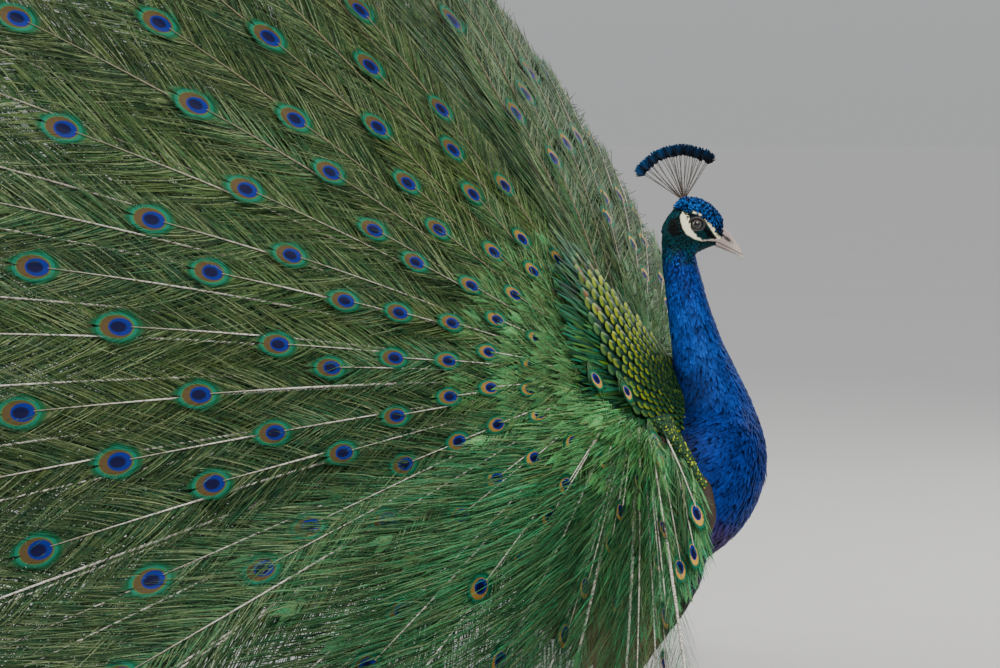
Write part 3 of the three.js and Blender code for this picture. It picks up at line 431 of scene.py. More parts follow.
def add_barbs(bag, line, s, sign, length, angle, width, lift, tilt, head, centre, tint, strip, colours, shade):
    """Tapered, curved barbs from the shaft, at the distances s along it.

    sign to width, lift, tilt, tint and shade hold one value a barb. head and centre scale and place the vane map, and
    strip is the middle, half width and length of the feather's own strip of the OFBake map.
    """
    count = len(s)
    t = BARB_T[None, :]
    turn = angle[:, None] * (1 - 0.42 * t)
    steps = np.diff(np.concatenate([np.zeros((count, 1)), np.broadcast_to(t, (count, 5))], 1), axis=1)
    x = np.cumsum(steps * np.sin(turn), 1) * length[:, None]
    y = np.cumsum(steps * np.cos(turn), 1) * length[:, None]
    z = lift[:, None] * t ** 1.6
    half = width[:, None] / 2 * BARB_WIDTHS
    side = sign[:, None]
    ct, st = np.cos(tilt)[:, None], np.sin(tilt)[:, None]
    qx, qy = np.cos(turn[:, :4]) * side, -np.sin(turn[:, :4])
    xs, ys, zs = (np.empty((count, BARB_POINTS)) for _ in range(3))
    for k, way in ((0, -1), (1, 1)):
        xs[:, k:8:2] = side * x[:, :4] + way * half * ct * qx
        ys[:, k:8:2] = y[:, :4] + way * half * ct * qy
        zs[:, k:8:2] = z[:, :4] + way * half * st
    xs[:, 8], ys[:, 8], zs[:, 8] = side[:, 0] * x[:, 4], y[:, 4], z[:, 4]
    ys = ys + s[:, None]
    points = line.place(xs, ys, zs)
    height = points[..., 2]
    points[..., 2] = np.maximum(height, FLOOR_REST + (height - FLOOR_REST) * FLOOR_PRESS)
    vane = np.stack([xs / head, (ys - centre) / head], -1)
    bake = np.stack([strip[0] + strip[1] * np.clip(xs / WIDEST, -1, 1), np.clip(0.02 + 0.95 * ys / strip[2], 0, 1)], -1)
    base = (np.arange(count) * BARB_POINTS)[:, None, None]
    bag.add(points, BARB_QUADS[None] + base, BARB_TRIS[None] + base, vane, bake, np.repeat(tint, BARB_POINTS))
    colours.append(np.repeat(shade, BARB_POINTS, axis=0))


def add_shaft(bag, line, start, end, thick, tip_thick, strip, length, steps=18, proud=0.0022, pale=1.0):
    """Tapered four-sided shaft, proud of the barbs."""
    s = np.linspace(start, end, steps)
    half = np.linspace(thick, tip_thick, steps) / 2
    lift = proud * np.clip(s / 0.05, 0, 1)
    rows = [line.place(-half, s, lift), line.place(half * 0, s, lift + half * 1.3), line.place(half, s, lift),
            line.place(half * 0, s, lift - half)]
    points = np.stack(rows, 1)
    vane = np.stack([np.zeros((steps, 4)), np.broadcast_to((s / length)[:, None], (steps, 4))], -1)
    bake = np.stack([np.full((steps, 4), strip[0]) + strip[1] * 0.1 * np.array([-1, 0, 1, 0]),
                     np.broadcast_to(np.clip(0.02 + 0.95 * s / length, 0, 1)[:, None], (steps, 4))], -1)
    bag.add(points, ring_quads(steps, 4), [[0, 1, 2], [0, 2, 3]], vane, bake, pale)


EMERALD, OLIVE = np.array((0.006, 0.140, 0.062)), np.array((0.050, 0.110, 0.016))
BRONZE, DULL = np.array((0.095, 0.075, 0.024)), np.array((0.030, 0.056, 0.034))


def barb_colour(s, count, warm):
    """Emerald to olive, as warm is low or high; duller further out, with differences between barbs."""
    far = np.clip(s / 0.85, 0, 1)[:, None]
    mixed = EMERALD * (1 - warm) + OLIVE * warm
    bronze = np.clip(rng.normal(0.16, 0.18, (count, 1)), 0, 0.7)
    dull = np.clip(far * 0.7 + rng.normal(0, 0.18, (count, 1)), 0, 0.9) * (1 - 0.5 * warm)
    return (mixed * (1 - bronze) + BRONZE * bronze) * (1 - dull) + DULL * dull


def eyespot_head(length):
    """Half width of the head of a feather, larger on long ones."""
    return 0.0125 + 0.0130 * np.clip((length - 0.10) / 0.52, 0, 1)


# Kind of feather: half width of its head (0 is taken from the length), where the barbs start, spacing, angle of the
# barbs at the root in degrees, length of the barbs for a short and for a long feather.
KINDS = {
    "eyespot": (0.0, 0.03, 0.0027, 46, 0.030, 0.100), "forked": (0.024, 0.10, 0.0030, 46, 0.030, 0.100),
    "plume": (0.008, 0.004, 0.0034, 46, 0.030, 0.100), "filler": (0.010, 0.10, 0.0036, 44, 0.050, 0.110),
    "silk": (0.006, 0.0, 0.0013, 17, 0.048, 0.048), "curl": (0.006, 0.004, 0.0019, 66, 0.015, 0.020),
}


LONG_FEATHER, LONG_START = 0.3, 0.10  # eyespots longer than this have barbs from the second distance on
OUT_OF_SIGHT = 10  # metres past the tip: the middle of the eyespot on feathers that have none
SHORTEST_SHAFT, THICK_SHAFT, THIN_SHAFT, SHAFT_TIP = 0.095, 0.0056, 0.0026, 0.0012


def add_feather(barbs, shafts, line, length, strip, colours, kind, warm, bright=0.0, spot=0.0, pale=1.0, sparse=1.0):
    """A feather of one of the kinds; warm shifts it to olive, bright sets its tone, spot its head's half width."""
    head, start, spacing, lean, short, long = KINDS[kind]
    head = head or spot or float(eyespot_head(length))
    centre = length - 1.5 * head if kind == "eyespot" else length + OUT_OF_SIGHT
    start = LONG_START if kind == "eyespot" and length > LONG_FEATHER else start
    head_start = length - 3.0 * head
    bright = bright or rng.uniform(0.55, 1.2)
    stem = np.arange(min(start, head_start - 0.01), head_start, spacing * sparse)
    stem = np.repeat(stem, 2) + rng.uniform(-0.001, 0.001, 2 * len(stem))
    n = len(stem)
    sign = np.tile([-1.0, 1.0], n // 2)
    along = stem / max(length, 0.01)
    full = short + (long - short) * np.clip(length / 0.9, 0, 1)
    reach = full * (0.45 + 0.75 * np.sin(np.pi * np.clip(along, 0, 1)) ** 0.8) * rng.uniform(0.7, 1.15, n)
    angle = (lean - 0.26 * lean * along + rng.normal(0, 5, n)) * DEG
    width = (0.00115 + 0.0005 * np.clip(length - 0.5, 0, 1)) * rng.uniform(0.7, 1.25, n) * sparse
    tint = rng.uniform(0, 1, n)
    add_barbs(barbs, line, stem, sign, reach, angle, width, rng.normal(0.0, 0.005, n) + reach * 0.03,
              rng.normal(0.35, 0.25, n) * sign, head, centre, tint, strip, colours, barb_colour(stem, n, warm) * bright)
    end = length - 0.95 * head
    rows = np.arange(head_start, end, 0.00085 if length > LONG_FEATHER else 0.0007)
    q = np.repeat((rows - head_start) / (end - head_start), 2)
    rows = np.repeat(rows, 2)
    n = len(rows)
    sign = np.tile([-1.0, 1.0], n // 2)
    if kind == "eyespot":
        reach = head * (1.62 - 0.55 * q) * rng.uniform(0.94, 1.06, n)
        angle = (47 - 35 * q ** 2.2 + rng.normal(0, 1.0, n)) * DEG
    else:
        reach = head * (1.5 + 0.5 * q) * rng.uniform(0.92, 1.08, n)
        angle = (46 - 14 * q) * DEG
    add_barbs(barbs, line, rows, sign, reach, angle, np.full(n, 0.00125), rng.normal(0, 0.0006, n),
              np.full(n, 0.28) * sign, head, centre, rng.uniform(0.35, 0.7, n), strip, colours,
              barb_colour(rows, n, warm) * bright)
    if kind in ("eyespot", "forked", "curl") and length > SHORTEST_SHAFT:
        stop = length - (2.15 if kind == "eyespot" else 0.9) * head
        thick = THICK_SHAFT if length > 0.5 else THIN_SHAFT
        add_shaft(shafts, line, -0.006, stop, thick, SHAFT_TIP, strip, length, pale=pale)


# Tiers of eyespots, and the rim of forked feathers: length in metres, first angle from the top and step in degrees.
TIERS = [
    (0.100, 54, 16), (0.155, 8, 15), (0.205, 15, 14), (0.275, 5, 13.5), (0.345, 11, 16), (0.420, 5, 16),
    (0.500, 13, 15.5), (0.600, 5, 16), (0.710, 13, 16), (0.830, 5, 16), (0.960, 12, 15), (1.095, 5, 15),
    (1.225, 12, 14),
]
RIM = (1.33, 8.5, 10)
# Plain feathers that cover the quills and fill the outer train: length, first angle, step, how far in front of the
# first tier, kind.
PLUMES = [
    (0.055, 3, 5.0, 0.010, "plume"), (0.085, 5, 5.6, 0.003, "plume"), (0.125, 4, 6.4, -0.004, "plume"),
    (0.175, 6, 8.0, -0.011, "plume"), (0.75, 9, 16, -0.055, "filler"), (1.02, 1, 15, -0.062, "filler"),
    (1.28, 8, 14, -0.068, "filler"), (0.36, 100, 7, -0.016, "filler"), (0.50, 103, 7, -0.030, "filler"),
    (0.64, 106, 8, -0.040, "filler"), (0.44, 119, 7, -0.048, "filler"), (0.60, 122, 7, -0.056, "filler"),
    (0.42, 136, 5, -0.040, "filler"),
]


SEAMS = (50, 95)  # degrees from the top where the sectors of a side meet
FILLER_MARGIN = 13  # degrees that the filler stops short of the end of the fan
LEFT_PLUME_START = 34  # degrees from the top where the left side's plumes begin, and its four shortest eyespot tiers
LEFT_SPOT_STARTS = (56, 60, 46, 30)
LEFT_SPARSE = 1.35
PLUME_WARMTH = 0.42


def train():
    """Every feather of the train, as barb and shaft pieces for each sector of each side."""
    barb_material, quill_material = train_material(), shaft_material()
    for side, side_name in SIDES:
        chosen = {name: [] for name in SECTORS}
        tiers = [(*tier, i, "eyespot") for i, tier in enumerate(TIERS)] + [(*RIM, len(TIERS), "forked")]
        tiers += [(length, first, step, -ahead / Fan.tier_step, kind) for length, first, step, ahead, kind in PLUMES]
        for length, first, step, i, kind in tiers:
            start = first if side < 0 or kind != "eyespot" else first + step / 2
            if side < 0 and length > 1.2 and kind != "filler":
                start -= step
            if side > 0 and kind == "plume":
                start = max(start, LEFT_PLUME_START)
            elif side > 0 and kind == "eyespot" and i < len(LEFT_SPOT_STARTS):
                start = max(start, LEFT_SPOT_STARTS[i])
            angle, last = start, Fan.spread[side] - (FILLER_MARGIN if kind == "filler" else 0)
            while angle <= last:
                at = min(last, angle + rng.normal(0, 0.9))
                name = SECTORS[sum(at >= seam for seam in SEAMS)]
                chosen[name].append((at, Fan.front - i * Fan.tier_step, length * (1 + rng.normal(0, 0.012)), kind))
                angle += step
        for name in SECTORS:
            node = f"train_{side_name}_{name}"
            quills = Bag()
            for part, feathers in enumerate((chosen[name][0::2], chosen[name][1::2])):
                bag, colours = Bag(), []
                for k, (angle, offset, length, kind) in enumerate(feathers):
                    line = fan_line(angle, side, offset, length)
                    reach = length_above_floor(line, length)
                    if reach < 0.8 * length:
                        continue
                    strip = ((k + 0.5) / len(feathers), 0.42 / len(feathers), reach)
                    warm = np.clip(0.78 - angle / 170 + rng.normal(0, 0.2), 0.1, 1) if side < 0 else 0.35
                    # Painted light: feathers low on the right side lie in the shade of the fan above them, so their
                    # tone is raised, most on the shorter ones, in place of the light they lack.
                    low = float(smoothstep(angle, 90, 140)) if side < 0 else 0.0
                    low = low * (1 - 0.9 * float(smoothstep(length, 0.50, 0.95)))
                    near = float(smoothstep(length, 0.34, 0.12)) if side < 0 else 0.0
                    bright = rng.uniform(0.55, 1.15) * (1 + 2.8 * low + 0.6 * near + (1.0 if kind == "plume" else 0))
                    warm = PLUME_WARMTH if kind == "plume" else warm
                    add_feather(bag, quills, line, reach, strip, colours, kind, warm, bright,
                                pale=float(smoothstep(angle, 25, 75)), sparse=1.0 if side < 0 else LEFT_SPARSE)
                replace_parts(bag.mesh(f"{node}_barbs_{part + 1}", barb_material, "train_green", colours), node)
            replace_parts(quills.mesh(f"{node}_shafts", quill_material, "train_green"), node)


# Short eyespots near the mantle, in mm: root, place of the spot, half width of the head; then the twist in degrees.
INNER_SPOTS = [
    [25, -106, 474, 68, -124, 377, 16.5, 40], [31, -106, 462, 65, -134, 331, 16.5, 50],
    [-4, -104, 509, 18, -122, 463, 13.5, 52], [4, -108, 490, 23, -128, 443, 13.5, 45],
    [-28, -100, 489, -8, -128, 432, 14.5, 45], [-45, -82, 566, -18, -112, 521, 12.5, 50],
    [-83, -80, 578, -55, -110, 535, 14.5, 48], [-82, -96, 497, -66, -126, 450, 15.0, 40],
    [-80, -108, 462, -74, -140, 391, 15.5, 38], [-36, -118, 438, -21, -142, 350, 15.5, 38],
    [21, -114, 447, 50, -142, 314, 15.0, 40], [-40, -122, 417, -23, -160, 274, 16.0, 35],
]
# Silky and curled plumes over the wing: root and a point near the tip in mm, then how bright.
SILK = [
    [57, -99, 446, 73.5, -118, 338, 2.6], [46, -99, 453, 68, -120, 316, 3.2], [36, -98, 463, 59, -122, 299, 2.6],
    [28, -99, 464, 50, -124, 287, 3.2], [19, -102, 452, 36, -128, 275, 2.6], [8, -102, 449, 29, -128, 275, 3.0],
    [-18, -108, 483, 33, -126, 371, 3.2], [-27, -110, 473, 15, -130, 347, 2.8],
    [-36, -112, 464, -4, -134, 323, 2.5], [-4, -104, 464, 23, -124, 322, 3.2],
]
CURL = [
    [25, -103, 428, 58, -122, 275, 2.2], [16, -105, 418, 45, -124, 263, 2.4], [8, -107, 407, 35, -126, 245, 2.2],
    [-3, -108, 397, 22, -128, 227, 2.4], [-15, -110, 392, 5, -130, 227, 2.0], [-28, -112, 392, -13, -134, 227, 2.2],
    [-42, -113, 398, -36, -138, 239, 1.9], [-57, -113, 404, -60, -140, 251, 1.8],
    [-71, -112, 415, -86, -142, 274, 1.8], [-85, -110, 429, -111, -142, 310, 1.7],
    [-97, -108, 444, -138, -140, 345, 1.7], [-107, -106, 462, -160, -138, 383, 1.6],
    [-114, -102, 480, -176, -134, 422, 1.6], [-116, -98, 497, -184, -130, 458, 1.6],
]


def bundle():
    """Feathers that lie over the right wing and the base of the train."""
    bag, quills, colours = Bag(), Bag(), []
    bow, strips = 0.004, 40
    for k, (*ends, head, twist) in enumerate(INNER_SPOTS):
        head = head / 1000
        line, reach = free_line(*rows_mm([ends[:3], ends[3:]]), bow, twist)
        strip = ((k + 0.5) / strips, 0.01, 0.2)
        add_feather(bag, quills, line, reach + 1.5 * head, strip, colours, "eyespot", 0.15, 1.1, head)
    for k, (kind, *ends, bright) in enumerate([("silk", *row) for row in SILK] + [("curl", *row) for row in CURL]):
        line, reach = free_line(*rows_mm([ends[:3], ends[3:]]), bow, 25)
        strip = ((k + 14.5) / strips, 0.01, 0.35)
        add_feather(bag, quills, line, reach, strip, colours, kind, rng.uniform(0, 0.35), 1.35 * bright)
    node = "train_right_lower"
    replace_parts(bag.mesh("train_bundle_barbs", bpy.data.materials["train_barbs"], "train_green", colours), node)
    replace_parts(quills.mesh("train_bundle_shafts", bpy.data.materials["train_shafts"], "train_green"), node)


train()
bundle()


# ---------------------------------------------------------------- leaves: small feathers laid as thin curved plates
# Outlines of a leaf: share of its length, share of its half width there.
ROUND = np.array([(0.0, 0.42), (0.25, 0.74), (0.5, 0.97), (0.72, 1.0), (0.88, 0.82), (0.97, 0.48), (1.0, 0.14)])
SHORT = np.array([(0.0, 0.45), (0.45, 1.0), (0.82, 0.78), (1.0, 0.16)])
LONG = np.array([(0.0, 0.3), (0.08, 0.55), (0.2, 0.85), (0.4, 1.0), (0.6, 1.0), (0.78, 0.93), (0.9, 0.74), (0.97, 0.42),
                 (1.0, 0.12)])


def add_leaves(bag, root, along, across, normal, length, half, rows, columns, cup, rise, arch, tint, bake, colours,
               shade):
    """One plate a root, as long and wide as given; it cups across, rises towards its tip and arches along."""
    n, r = len(root), len(rows)
    u, p = rows[:, 0][None, :, None], rows[:, 1][None, :, None]
    w = np.linspace(-1, 1, columns)[None, None, :]
    length, half, rise, arch = (np.broadcast_to(value, (n,))[:, None, None] for value in (length, half, rise, arch))
    x = half * p * w
    y = length * u + 0 * x
    z = rise * u ** 1.3 - cup * half * (w * p) ** 2 + arch * np.sin(math.pi * u)
    points = (root[:, None, None, :] + along[:, None, None, :] * y[..., None] + across[:, None, None, :] * x[..., None]
              + normal[:, None, None, :] * z[..., None])
    vane = np.stack([np.broadcast_to(w * p, (n, r, columns)), np.broadcast_to(u, (n, r, columns))], -1)
    patch = bake[:, None, None, :] + 0.0015 * np.stack([vane[..., 0], 2 * vane[..., 1] - 1], -1)
    quads = grid_quads(r, columns)[None] + (np.arange(n) * r * columns)[:, None, None]
    bag.add(points, quads, [], vane, patch, np.repeat(tint, r * columns))
    colours.append(np.repeat(shade, r * columns, axis=0))


def barb_lines(t, fine):
    """Streaks that run slantwise out from the shaft of a leaf, as its barbs do."""
    u, v = t.vane()
    side = t.math("ABSOLUTE", u)
    place = t.make("ShaderNodeCombineXYZ", {
        0: t.math("MULTIPLY", u, 1.2), 2: t.math("MULTIPLY", t.attribute("tint"), 40.0),
        1: t.math("MULTIPLY", t.math("SUBTRACT", v, t.math("MULTIPLY", side, 0.35)), fine)})
    return u, v, side, t.noise(1.0, 2.0, place)


def body_material():
    """Small glossy body feathers, darker at the root, with fine barbs."""
    t = Tree("body_feathers")
    _, v, _, barbs = barb_lines(t, 16.0)
    shade = t.attribute("shade", out=0)
    dark = t.mix(1.0, shade, (0.10, 0.16, 0.22), "MULTIPLY")
    colour = t.mix(t.step(v, 0.10, 0.70), dark, shade)
    colour = t.mix(t.step(barbs, 0.42, 0.62, 0.30, 0.0), colour, dark)
    colour = t.mix(t.step(t.attribute("tint"), 0.0, 0.30, 0.60, 0.0), colour, dark)
    return t.finish(colour, 0.50, 0.15, t.bump(barbs, 0.5, 0.0004), Specular_IOR_Level=0.12)


def skin_material():
    t = Tree("bird_skin")
    shade = t.attribute("shade", out=0)
    grain = t.noise(520.0, 4.0)
    colour = t.mix(t.step(grain, 0.3, 0.7, 0.28, 0.0), shade, t.mix(1.0, shade, (0.5, 0.5, 0.5), "MULTIPLY"))
    return t.finish(colour, 0.75, 0.0, t.bump(grain, 0.35, 0.0006), Specular_IOR_Level=0.1)


def scale_material():
    """Scale-like feathers of the mantle: dark at the root, coppery inside, a bright rim and a dark hairline edge."""
    t = Tree("mantle_scales")
    u, v, side, barbs = barb_lines(t, 14.0)
    shade = t.attribute("shade", out=0)
    tint = t.attribute("tint")
    radius = ellipse(t, u, v, 0.95, 0.62, 0.42)
    bright = t.mix(t.step(barbs, 0.40, 0.62, 0.35, 0.0), shade, t.mix(1.0, shade, (0.45, 0.5, 0.4), "MULTIPLY"))
    slant = t.math("SUBTRACT", t.math("MULTIPLY", v, 1.5), t.math("MULTIPLY", u, 0.55))
    arch = t.math("MULTIPLY", t.step(radius, 0.38, 0.80), t.step(slant, 0.60, 1.15))
    colour = t.mix(arch, (0.006, 0.052, 0.024), bright)
    core = t.math("MULTIPLY", t.step(tint, 0.45, 0.95), t.step(radius, 0.80, 0.55))
    colour = t.mix(core, colour, (0.16, 0.075, 0.022))
    colour = t.mix(t.step(v, 0.60, 0.44), colour, (0.004, 0.028, 0.016))
    colour = t.mix(t.step(side, 0.80, 0.97), colour, (0.006, 0.050, 0.026))
    colour = t.mix(t.step(radius, 0.97, 1.01), colour, (0.008, 0.045, 0.028))
    return t.finish(colour, 0.48, 0.25, t.bump(barbs, 0.4, 0.0004), Specular_IOR_Level=0.2)


def plate_material(name, barred):
    """Flight and tail feathers: a pale shaft down the middle, slanting barbs, and bars on the coverts."""
    t = Tree(name)
    _, v, side, barbs = barb_lines(t, 60.0)
    shade = t.attribute("shade", out=0)
    colour = t.mix(t.step(barbs, 0.38, 0.65, 0.45, 0.0), shade, t.mix(1.0, shade, (0.45, 0.42, 0.40), "MULTIPLY"))
    if barred:
        wobble = t.math("MULTIPLY", t.noise(9.0, 2.0), 2.2)
        wave = t.math("SINE", t.math("ADD", t.math("MULTIPLY", v, 26.0), t.math("MULTIPLY", wobble, 2.0)))
        colour = t.mix(t.step(wave, -0.15, 0.25), (0.018, 0.016, 0.014), colour)
    colour = t.mix(t.step(side, 0.055, 0.025), colour, (0.26, 0.17, 0.09))
    return t.finish(colour, 0.48, 0.0, t.bump(barbs, 0.6, 0.0005), Specular_IOR_Level=0.4)


# ---------------------------------------------------------------- body: outlines of the flesh, as in the solids
# Rows in millimetres. Torso: x, top, bottom, half width. Neck: x, z, half depth, half width. Head: along, top,
# bottom, half width. Thigh: share of its length in thousandths, half depth, half width.
TORSO = rows_mm([
    [136, 452, 408, 24], [124, 490, 372, 54], [102, 512, 338, 74], [66, 516, 307, 89], [20, 510, 278, 97],
    [-24, 504, 262, 98], [-80, 496, 264, 92], [-130, 480, 286, 78], [-172, 456, 322, 56], [-200, 424, 362, 26]])
NECK = rows_mm([
    [70, 420, 62, 70], [72, 465, 58, 62], [72, 500, 51, 50], [62, 540, 42, 38], [52, 575, 34.5, 30],
    [43, 610, 29, 26], [37, 640, 26, 23.5], [31, 668, 24, 22.5], [26, 700, 20, 20]])
HEAD = rows_mm([
    [-37, 4, -12, 9], [-33, 11, -25, 15], [-26, 21, -30.5, 19], [-12, 35, -33, 22.5], [0, 36.5, -32.5, 22.5],
    [11, 34, -28, 20.5], [20, 28, -24, 17.5], [28, 20.5, -22, 13.5], [34, 12, -20.5, 10]])
THIGH = rows_mm([[0, 15, 13], [250, 24, 20], [550, 37, 31], [800, 40, 38], [1000, 34, 36]])
FEET = {-1: np.array([0.016, -0.058, 0]), 1: np.array([-0.016, 0.058, 0])}


def smooth_rows(rows, steps):
    """Rows of a table on a smooth curve through them, evenly spread."""
    place = np.linspace(0, len(rows) - 1, steps)
    i = np.minimum(place.astype(int), len(rows) - 2)
    f = (place - i)[:, None]
    a, b, c, d = (rows[np.clip(i + k, 0, len(rows) - 1)] for k in (-1, 0, 1, 2))
    return b + 0.5 * f * (c - a + f * (2 * a - 5 * b + 4 * c - d + f * (3 * (b - c) + d - a)))


def ring_points(centre, side_axis, up_axis, wide, tall, count, power=2.0):
    angle = np.linspace(0, 2 * math.pi, count, endpoint=False)
    ca, sa = np.cos(angle), np.sin(angle)
    a = np.sign(ca) * np.abs(ca) ** (2 / power) * wide
    b = np.sign(sa) * np.abs(sa) ** (2 / power) * tall
    return centre + side_axis * a[:, None] + up_axis * b[:, None]


def tube(rings):
    """Vertices and faces of a closed tube through rings of equal counts."""
    count = len(rings[0])
    faces = ring_quads(len(rings), count).tolist()
    faces += [list(range(count))[::-1], list(range((len(rings) - 1) * count, len(rings) * count))]
    return np.concatenate(rings), faces


HEAD_LEFT = turned(LEFT, HEAD_TURN)


def flesh_tubes(sink):
    """Tubes of torso, neck, head and thighs, each drawn in by the depth of its coat."""
    torso = [ring_points(np.array([x, 0, (top + low) / 2]), LEFT, UP, wide - sink["torso"],
                         (top - low) / 2 - sink["torso"], 72, 2.25) for x, top, low, wide in smooth_rows(TORSO, 50)]
    neck = [ring_points(np.array([x, 0, z]), AHEAD, LEFT, deep - sink["neck"], wide - sink["neck"], 48)
            for x, z, deep, wide in smooth_rows(NECK, 50)]
    head = [ring_points(head_point(1000 * along, 0, 500 * (top + low)), HEAD_LEFT, UP, wide - sink["head"],
                        (top - low) / 2 - sink["head"], 48) for along, top, low, wide in smooth_rows(HEAD, 40)]
    tubes = [tube(torso), tube(neck), tube(head)]
    for foot in FEET.values():
        hock = foot + [-0.042, 0, 0.168]
        hip = foot * [1, 0.85, 0] + [0.024, 0, 0.318]
        tubes.append(tube([
            ring_points(hock + (hip - hock) * t, LEFT, AHEAD, wide - sink["thigh"], deep - sink["thigh"], 32)
            for t, deep, wide in smooth_rows(THIGH, 24)]))
    return tubes


def head_place(points):
    """Along, left and up of the head's own frame, in millimetres."""
    local = turned(points - HEAD_CENTRE, -HEAD_TURN) * 1000
    return local[:, 0], local[:, 1], local[:, 2]


def stroke(a, u, path):
    """Share of a painted stroke at each place; the path holds [along, up, half width] in millimetres."""
    best = np.full(len(a), 99.0)
    for (a0, u0, w0), (a1, u1, w1) in zip(path[:-1], path[1:]):
        t = np.clip(((a - a0) * (a1 - a0) + (u - u0) * (u1 - u0)) / ((a1 - a0) ** 2 + (u1 - u0) ** 2), 0, 1)
        best = np.minimum(best, np.hypot(a - a0 - t * (a1 - a0), u - u0 - t * (u1 - u0)) - (w0 + t * (w1 - w0)))
    return smoothstep(-best, -0.8, 0.5)


# Bare skin of the face, and black feathers in front of the eye and over it.
CREAM_STROKES = [
    [(-12, 20.5, 0.6), (-11.2, 12.5, 4.9), (-10, 7, 5.3), (-8.8, 0.5, 4.5), (-6, -5.5, 3.7), (2.6, -11.9, 2.5),
     (10, -15.3, 1.1)],
    [(14.4, 9.4, 0.9), (21.4, 1, 2.0), (27, -7.5, 2.0), (34, -15.5, 1.8)],
    [(-1.8, 18.9, 1.0), (8.6, 14.9, 0.9)],
]
GAPE_STROKE = [(10, -16.4, 0.6), (20, -15.6, 0.9), (28, -15.8, 1.6), (34, -18, 2.6)]
BLACK_STROKES = [[(15, -1, 1.8), (21, -8, 3.0), (27, -14, 2.2)], [(-6, 15.5, 1.6), (5, 13.8, 1.8), (12, 9.5, 1.6)]]
CROWN_LINE = np.array([(-26, 27), (-20, 24), (-11, 21.5), (0, 17.6), (10, 12.8), (16, 9.8), (25, -1), (33, -9)])


def bare_share(points, strokes=CREAM_STROKES):
    a, left, u = head_place(points)
    share = np.max([stroke(a + 0.6, u - 1.2, path) for path in strokes], axis=0)
    return share * (np.abs(left) > 5) * (points[:, 2] > 0.66)


def crown_share(points):
    a, _, u = head_place(points)
    edge = np.interp(a, CROWN_LINE[:, 0], CROWN_LINE[:, 1])
    return smoothstep(u, edge - 0.5, edge + 1.5) * smoothstep(a, -29, -24) * (points[:, 2] > 0.68)


def clumps(points, scale):
    """Uneven values from 0 to 1 that change over about the given length."""
    x, y, z = (points / scale).T
    wave = (np.sin(x * 2.1 + 1.7 * np.sin(y * 1.3 + z)) + np.sin(y * 2.7 - 1.4 * np.sin(z * 1.1))
            + np.sin(z * 1.9 + 2.2 * np.sin(x * 0.9 - y)))
    return np.clip(0.5 + wave / 4, 0, 1)


COBALT, AZURE_HIGHLIGHT, VIOLET = np.array([(0.0, 0.027, 0.215), (0.0, 0.060, 0.33), (0.046, 0.022, 0.105)])
DEEP_TEAL, CROWN, LORE = np.array([(0.0, 0.040, 0.040), (0.0, 0.070, 0.285), (0.0, 0.003, 0.005)])
EAR, CREAM, GAPE = np.array([(0.001, 0.004, 0.004), (0.88, 0.86, 0.58), (0.50, 0.42, 0.37)])
BELLY, THIGH_BROWN, BACK = np.array([(0.020, 0.016, 0.012), (0.11, 0.075, 0.045), (0.010, 0.075, 0.040)])


def painted(base, colour, share):
    """Mix of two colours or ways, by one share a place."""
    return base + (np.asarray(colour) - base) * np.asarray(share)[:, None]


def body_colour(points):
    """Colour of the feathers at each place of the body, with a painted highlight on the middle of the neck and painted
    shadow at the foot of the neck beside the mantle.
    """
    x, z = points[:, 0], points[:, 2]
    a, _, u = head_place(points)
    # Azure mottles on the middle of the neck: partly the feathers' own colour, partly a painted highlight where the
    # neck is lit.
    colour = painted(COBALT, AZURE_HIGHLIGHT,
                     smoothstep(z, 0.47, 0.56) * smoothstep(z, 0.68, 0.63) * (0.35 + 0.65 * clumps(points, 0.02)))
    # Painted shadow: darker at the foot of the neck beside the mantle's edge, where shade falls in the fold.
    colour = colour * (1 - 0.65 * smoothstep(x, 0.085, 0.055) * smoothstep(z, 0.58, 0.53))[:, None]
    belly = np.maximum(smoothstep(z, 0.335, 0.305), smoothstep(z, 0.385, 0.350) * smoothstep(x, 0.122, 0.095))
    colour = painted(colour, VIOLET, 0.9 * belly * smoothstep(x, 0.02, 0.06))
    colour = painted(colour, BACK, smoothstep(x, 0.03, -0.02) * smoothstep(z, 0.40, 0.45))
    under = np.maximum(smoothstep(z, 0.295, 0.270), smoothstep(x, 0.02, -0.04) * smoothstep(z, 0.44, 0.38))
    colour = painted(colour, BELLY, under)
    colour = painted(colour, THIGH_BROWN, smoothstep(z, 0.255, 0.225))
    colour = painted(colour, DEEP_TEAL, smoothstep(z + 0.012 * (clumps(points, 0.006) - 0.5), 0.666, 0.692) * 0.95)
    colour = painted(colour, CROWN * (0.25 + 0.75 * smoothstep(u, -8, 8))[:, None], crown_share(points))
    face = smoothstep(z, 0.676, 0.684) * (1 - crown_share(points))
    colour = painted(colour, EAR, face * smoothstep(np.hypot((a + 21.5) / 7.0, (u - 1) / 11.5), 1.2, 0.8))
    return painted(colour, LORE, face * np.max([stroke(a + 0.6, u - 1.2, path) for path in BLACK_STROKES], axis=0))


def skin_colour(points):
    """Dark between the feathers, pale on the bare patches of the face."""
    colour = painted(body_colour(points) * 0.22, GAPE, bare_share(points, [GAPE_STROKE]))
    return painted(colour, CREAM, bare_share(points))


def skin_map(points):
    """Unwrap of the skin: round the body one way, from rump over breast to crown the other."""
    x, y, z = points.T
    high = smoothstep(z, 0.47, 0.53)
    spine = np.interp(z, NECK[:, 1], NECK[:, 0])
    round_neck = np.arctan2(y, spine - x)
    round_trunk = np.arctan2(y, 0.40 - z)
    place = 0.5 + np.where(high > 0.5, round_neck, round_trunk) / (2 * math.pi) * 0.96
    run_neck = 0.52 + 0.46 * np.clip((z - 0.5) / 0.27, 0, 1)
    run_trunk = 0.02 + 0.46 * np.clip((x + 0.2) / 0.34, 0, 1)
    run = np.where(high > 0.5, run_neck, run_trunk)
    return np.stack([place, run], -1)


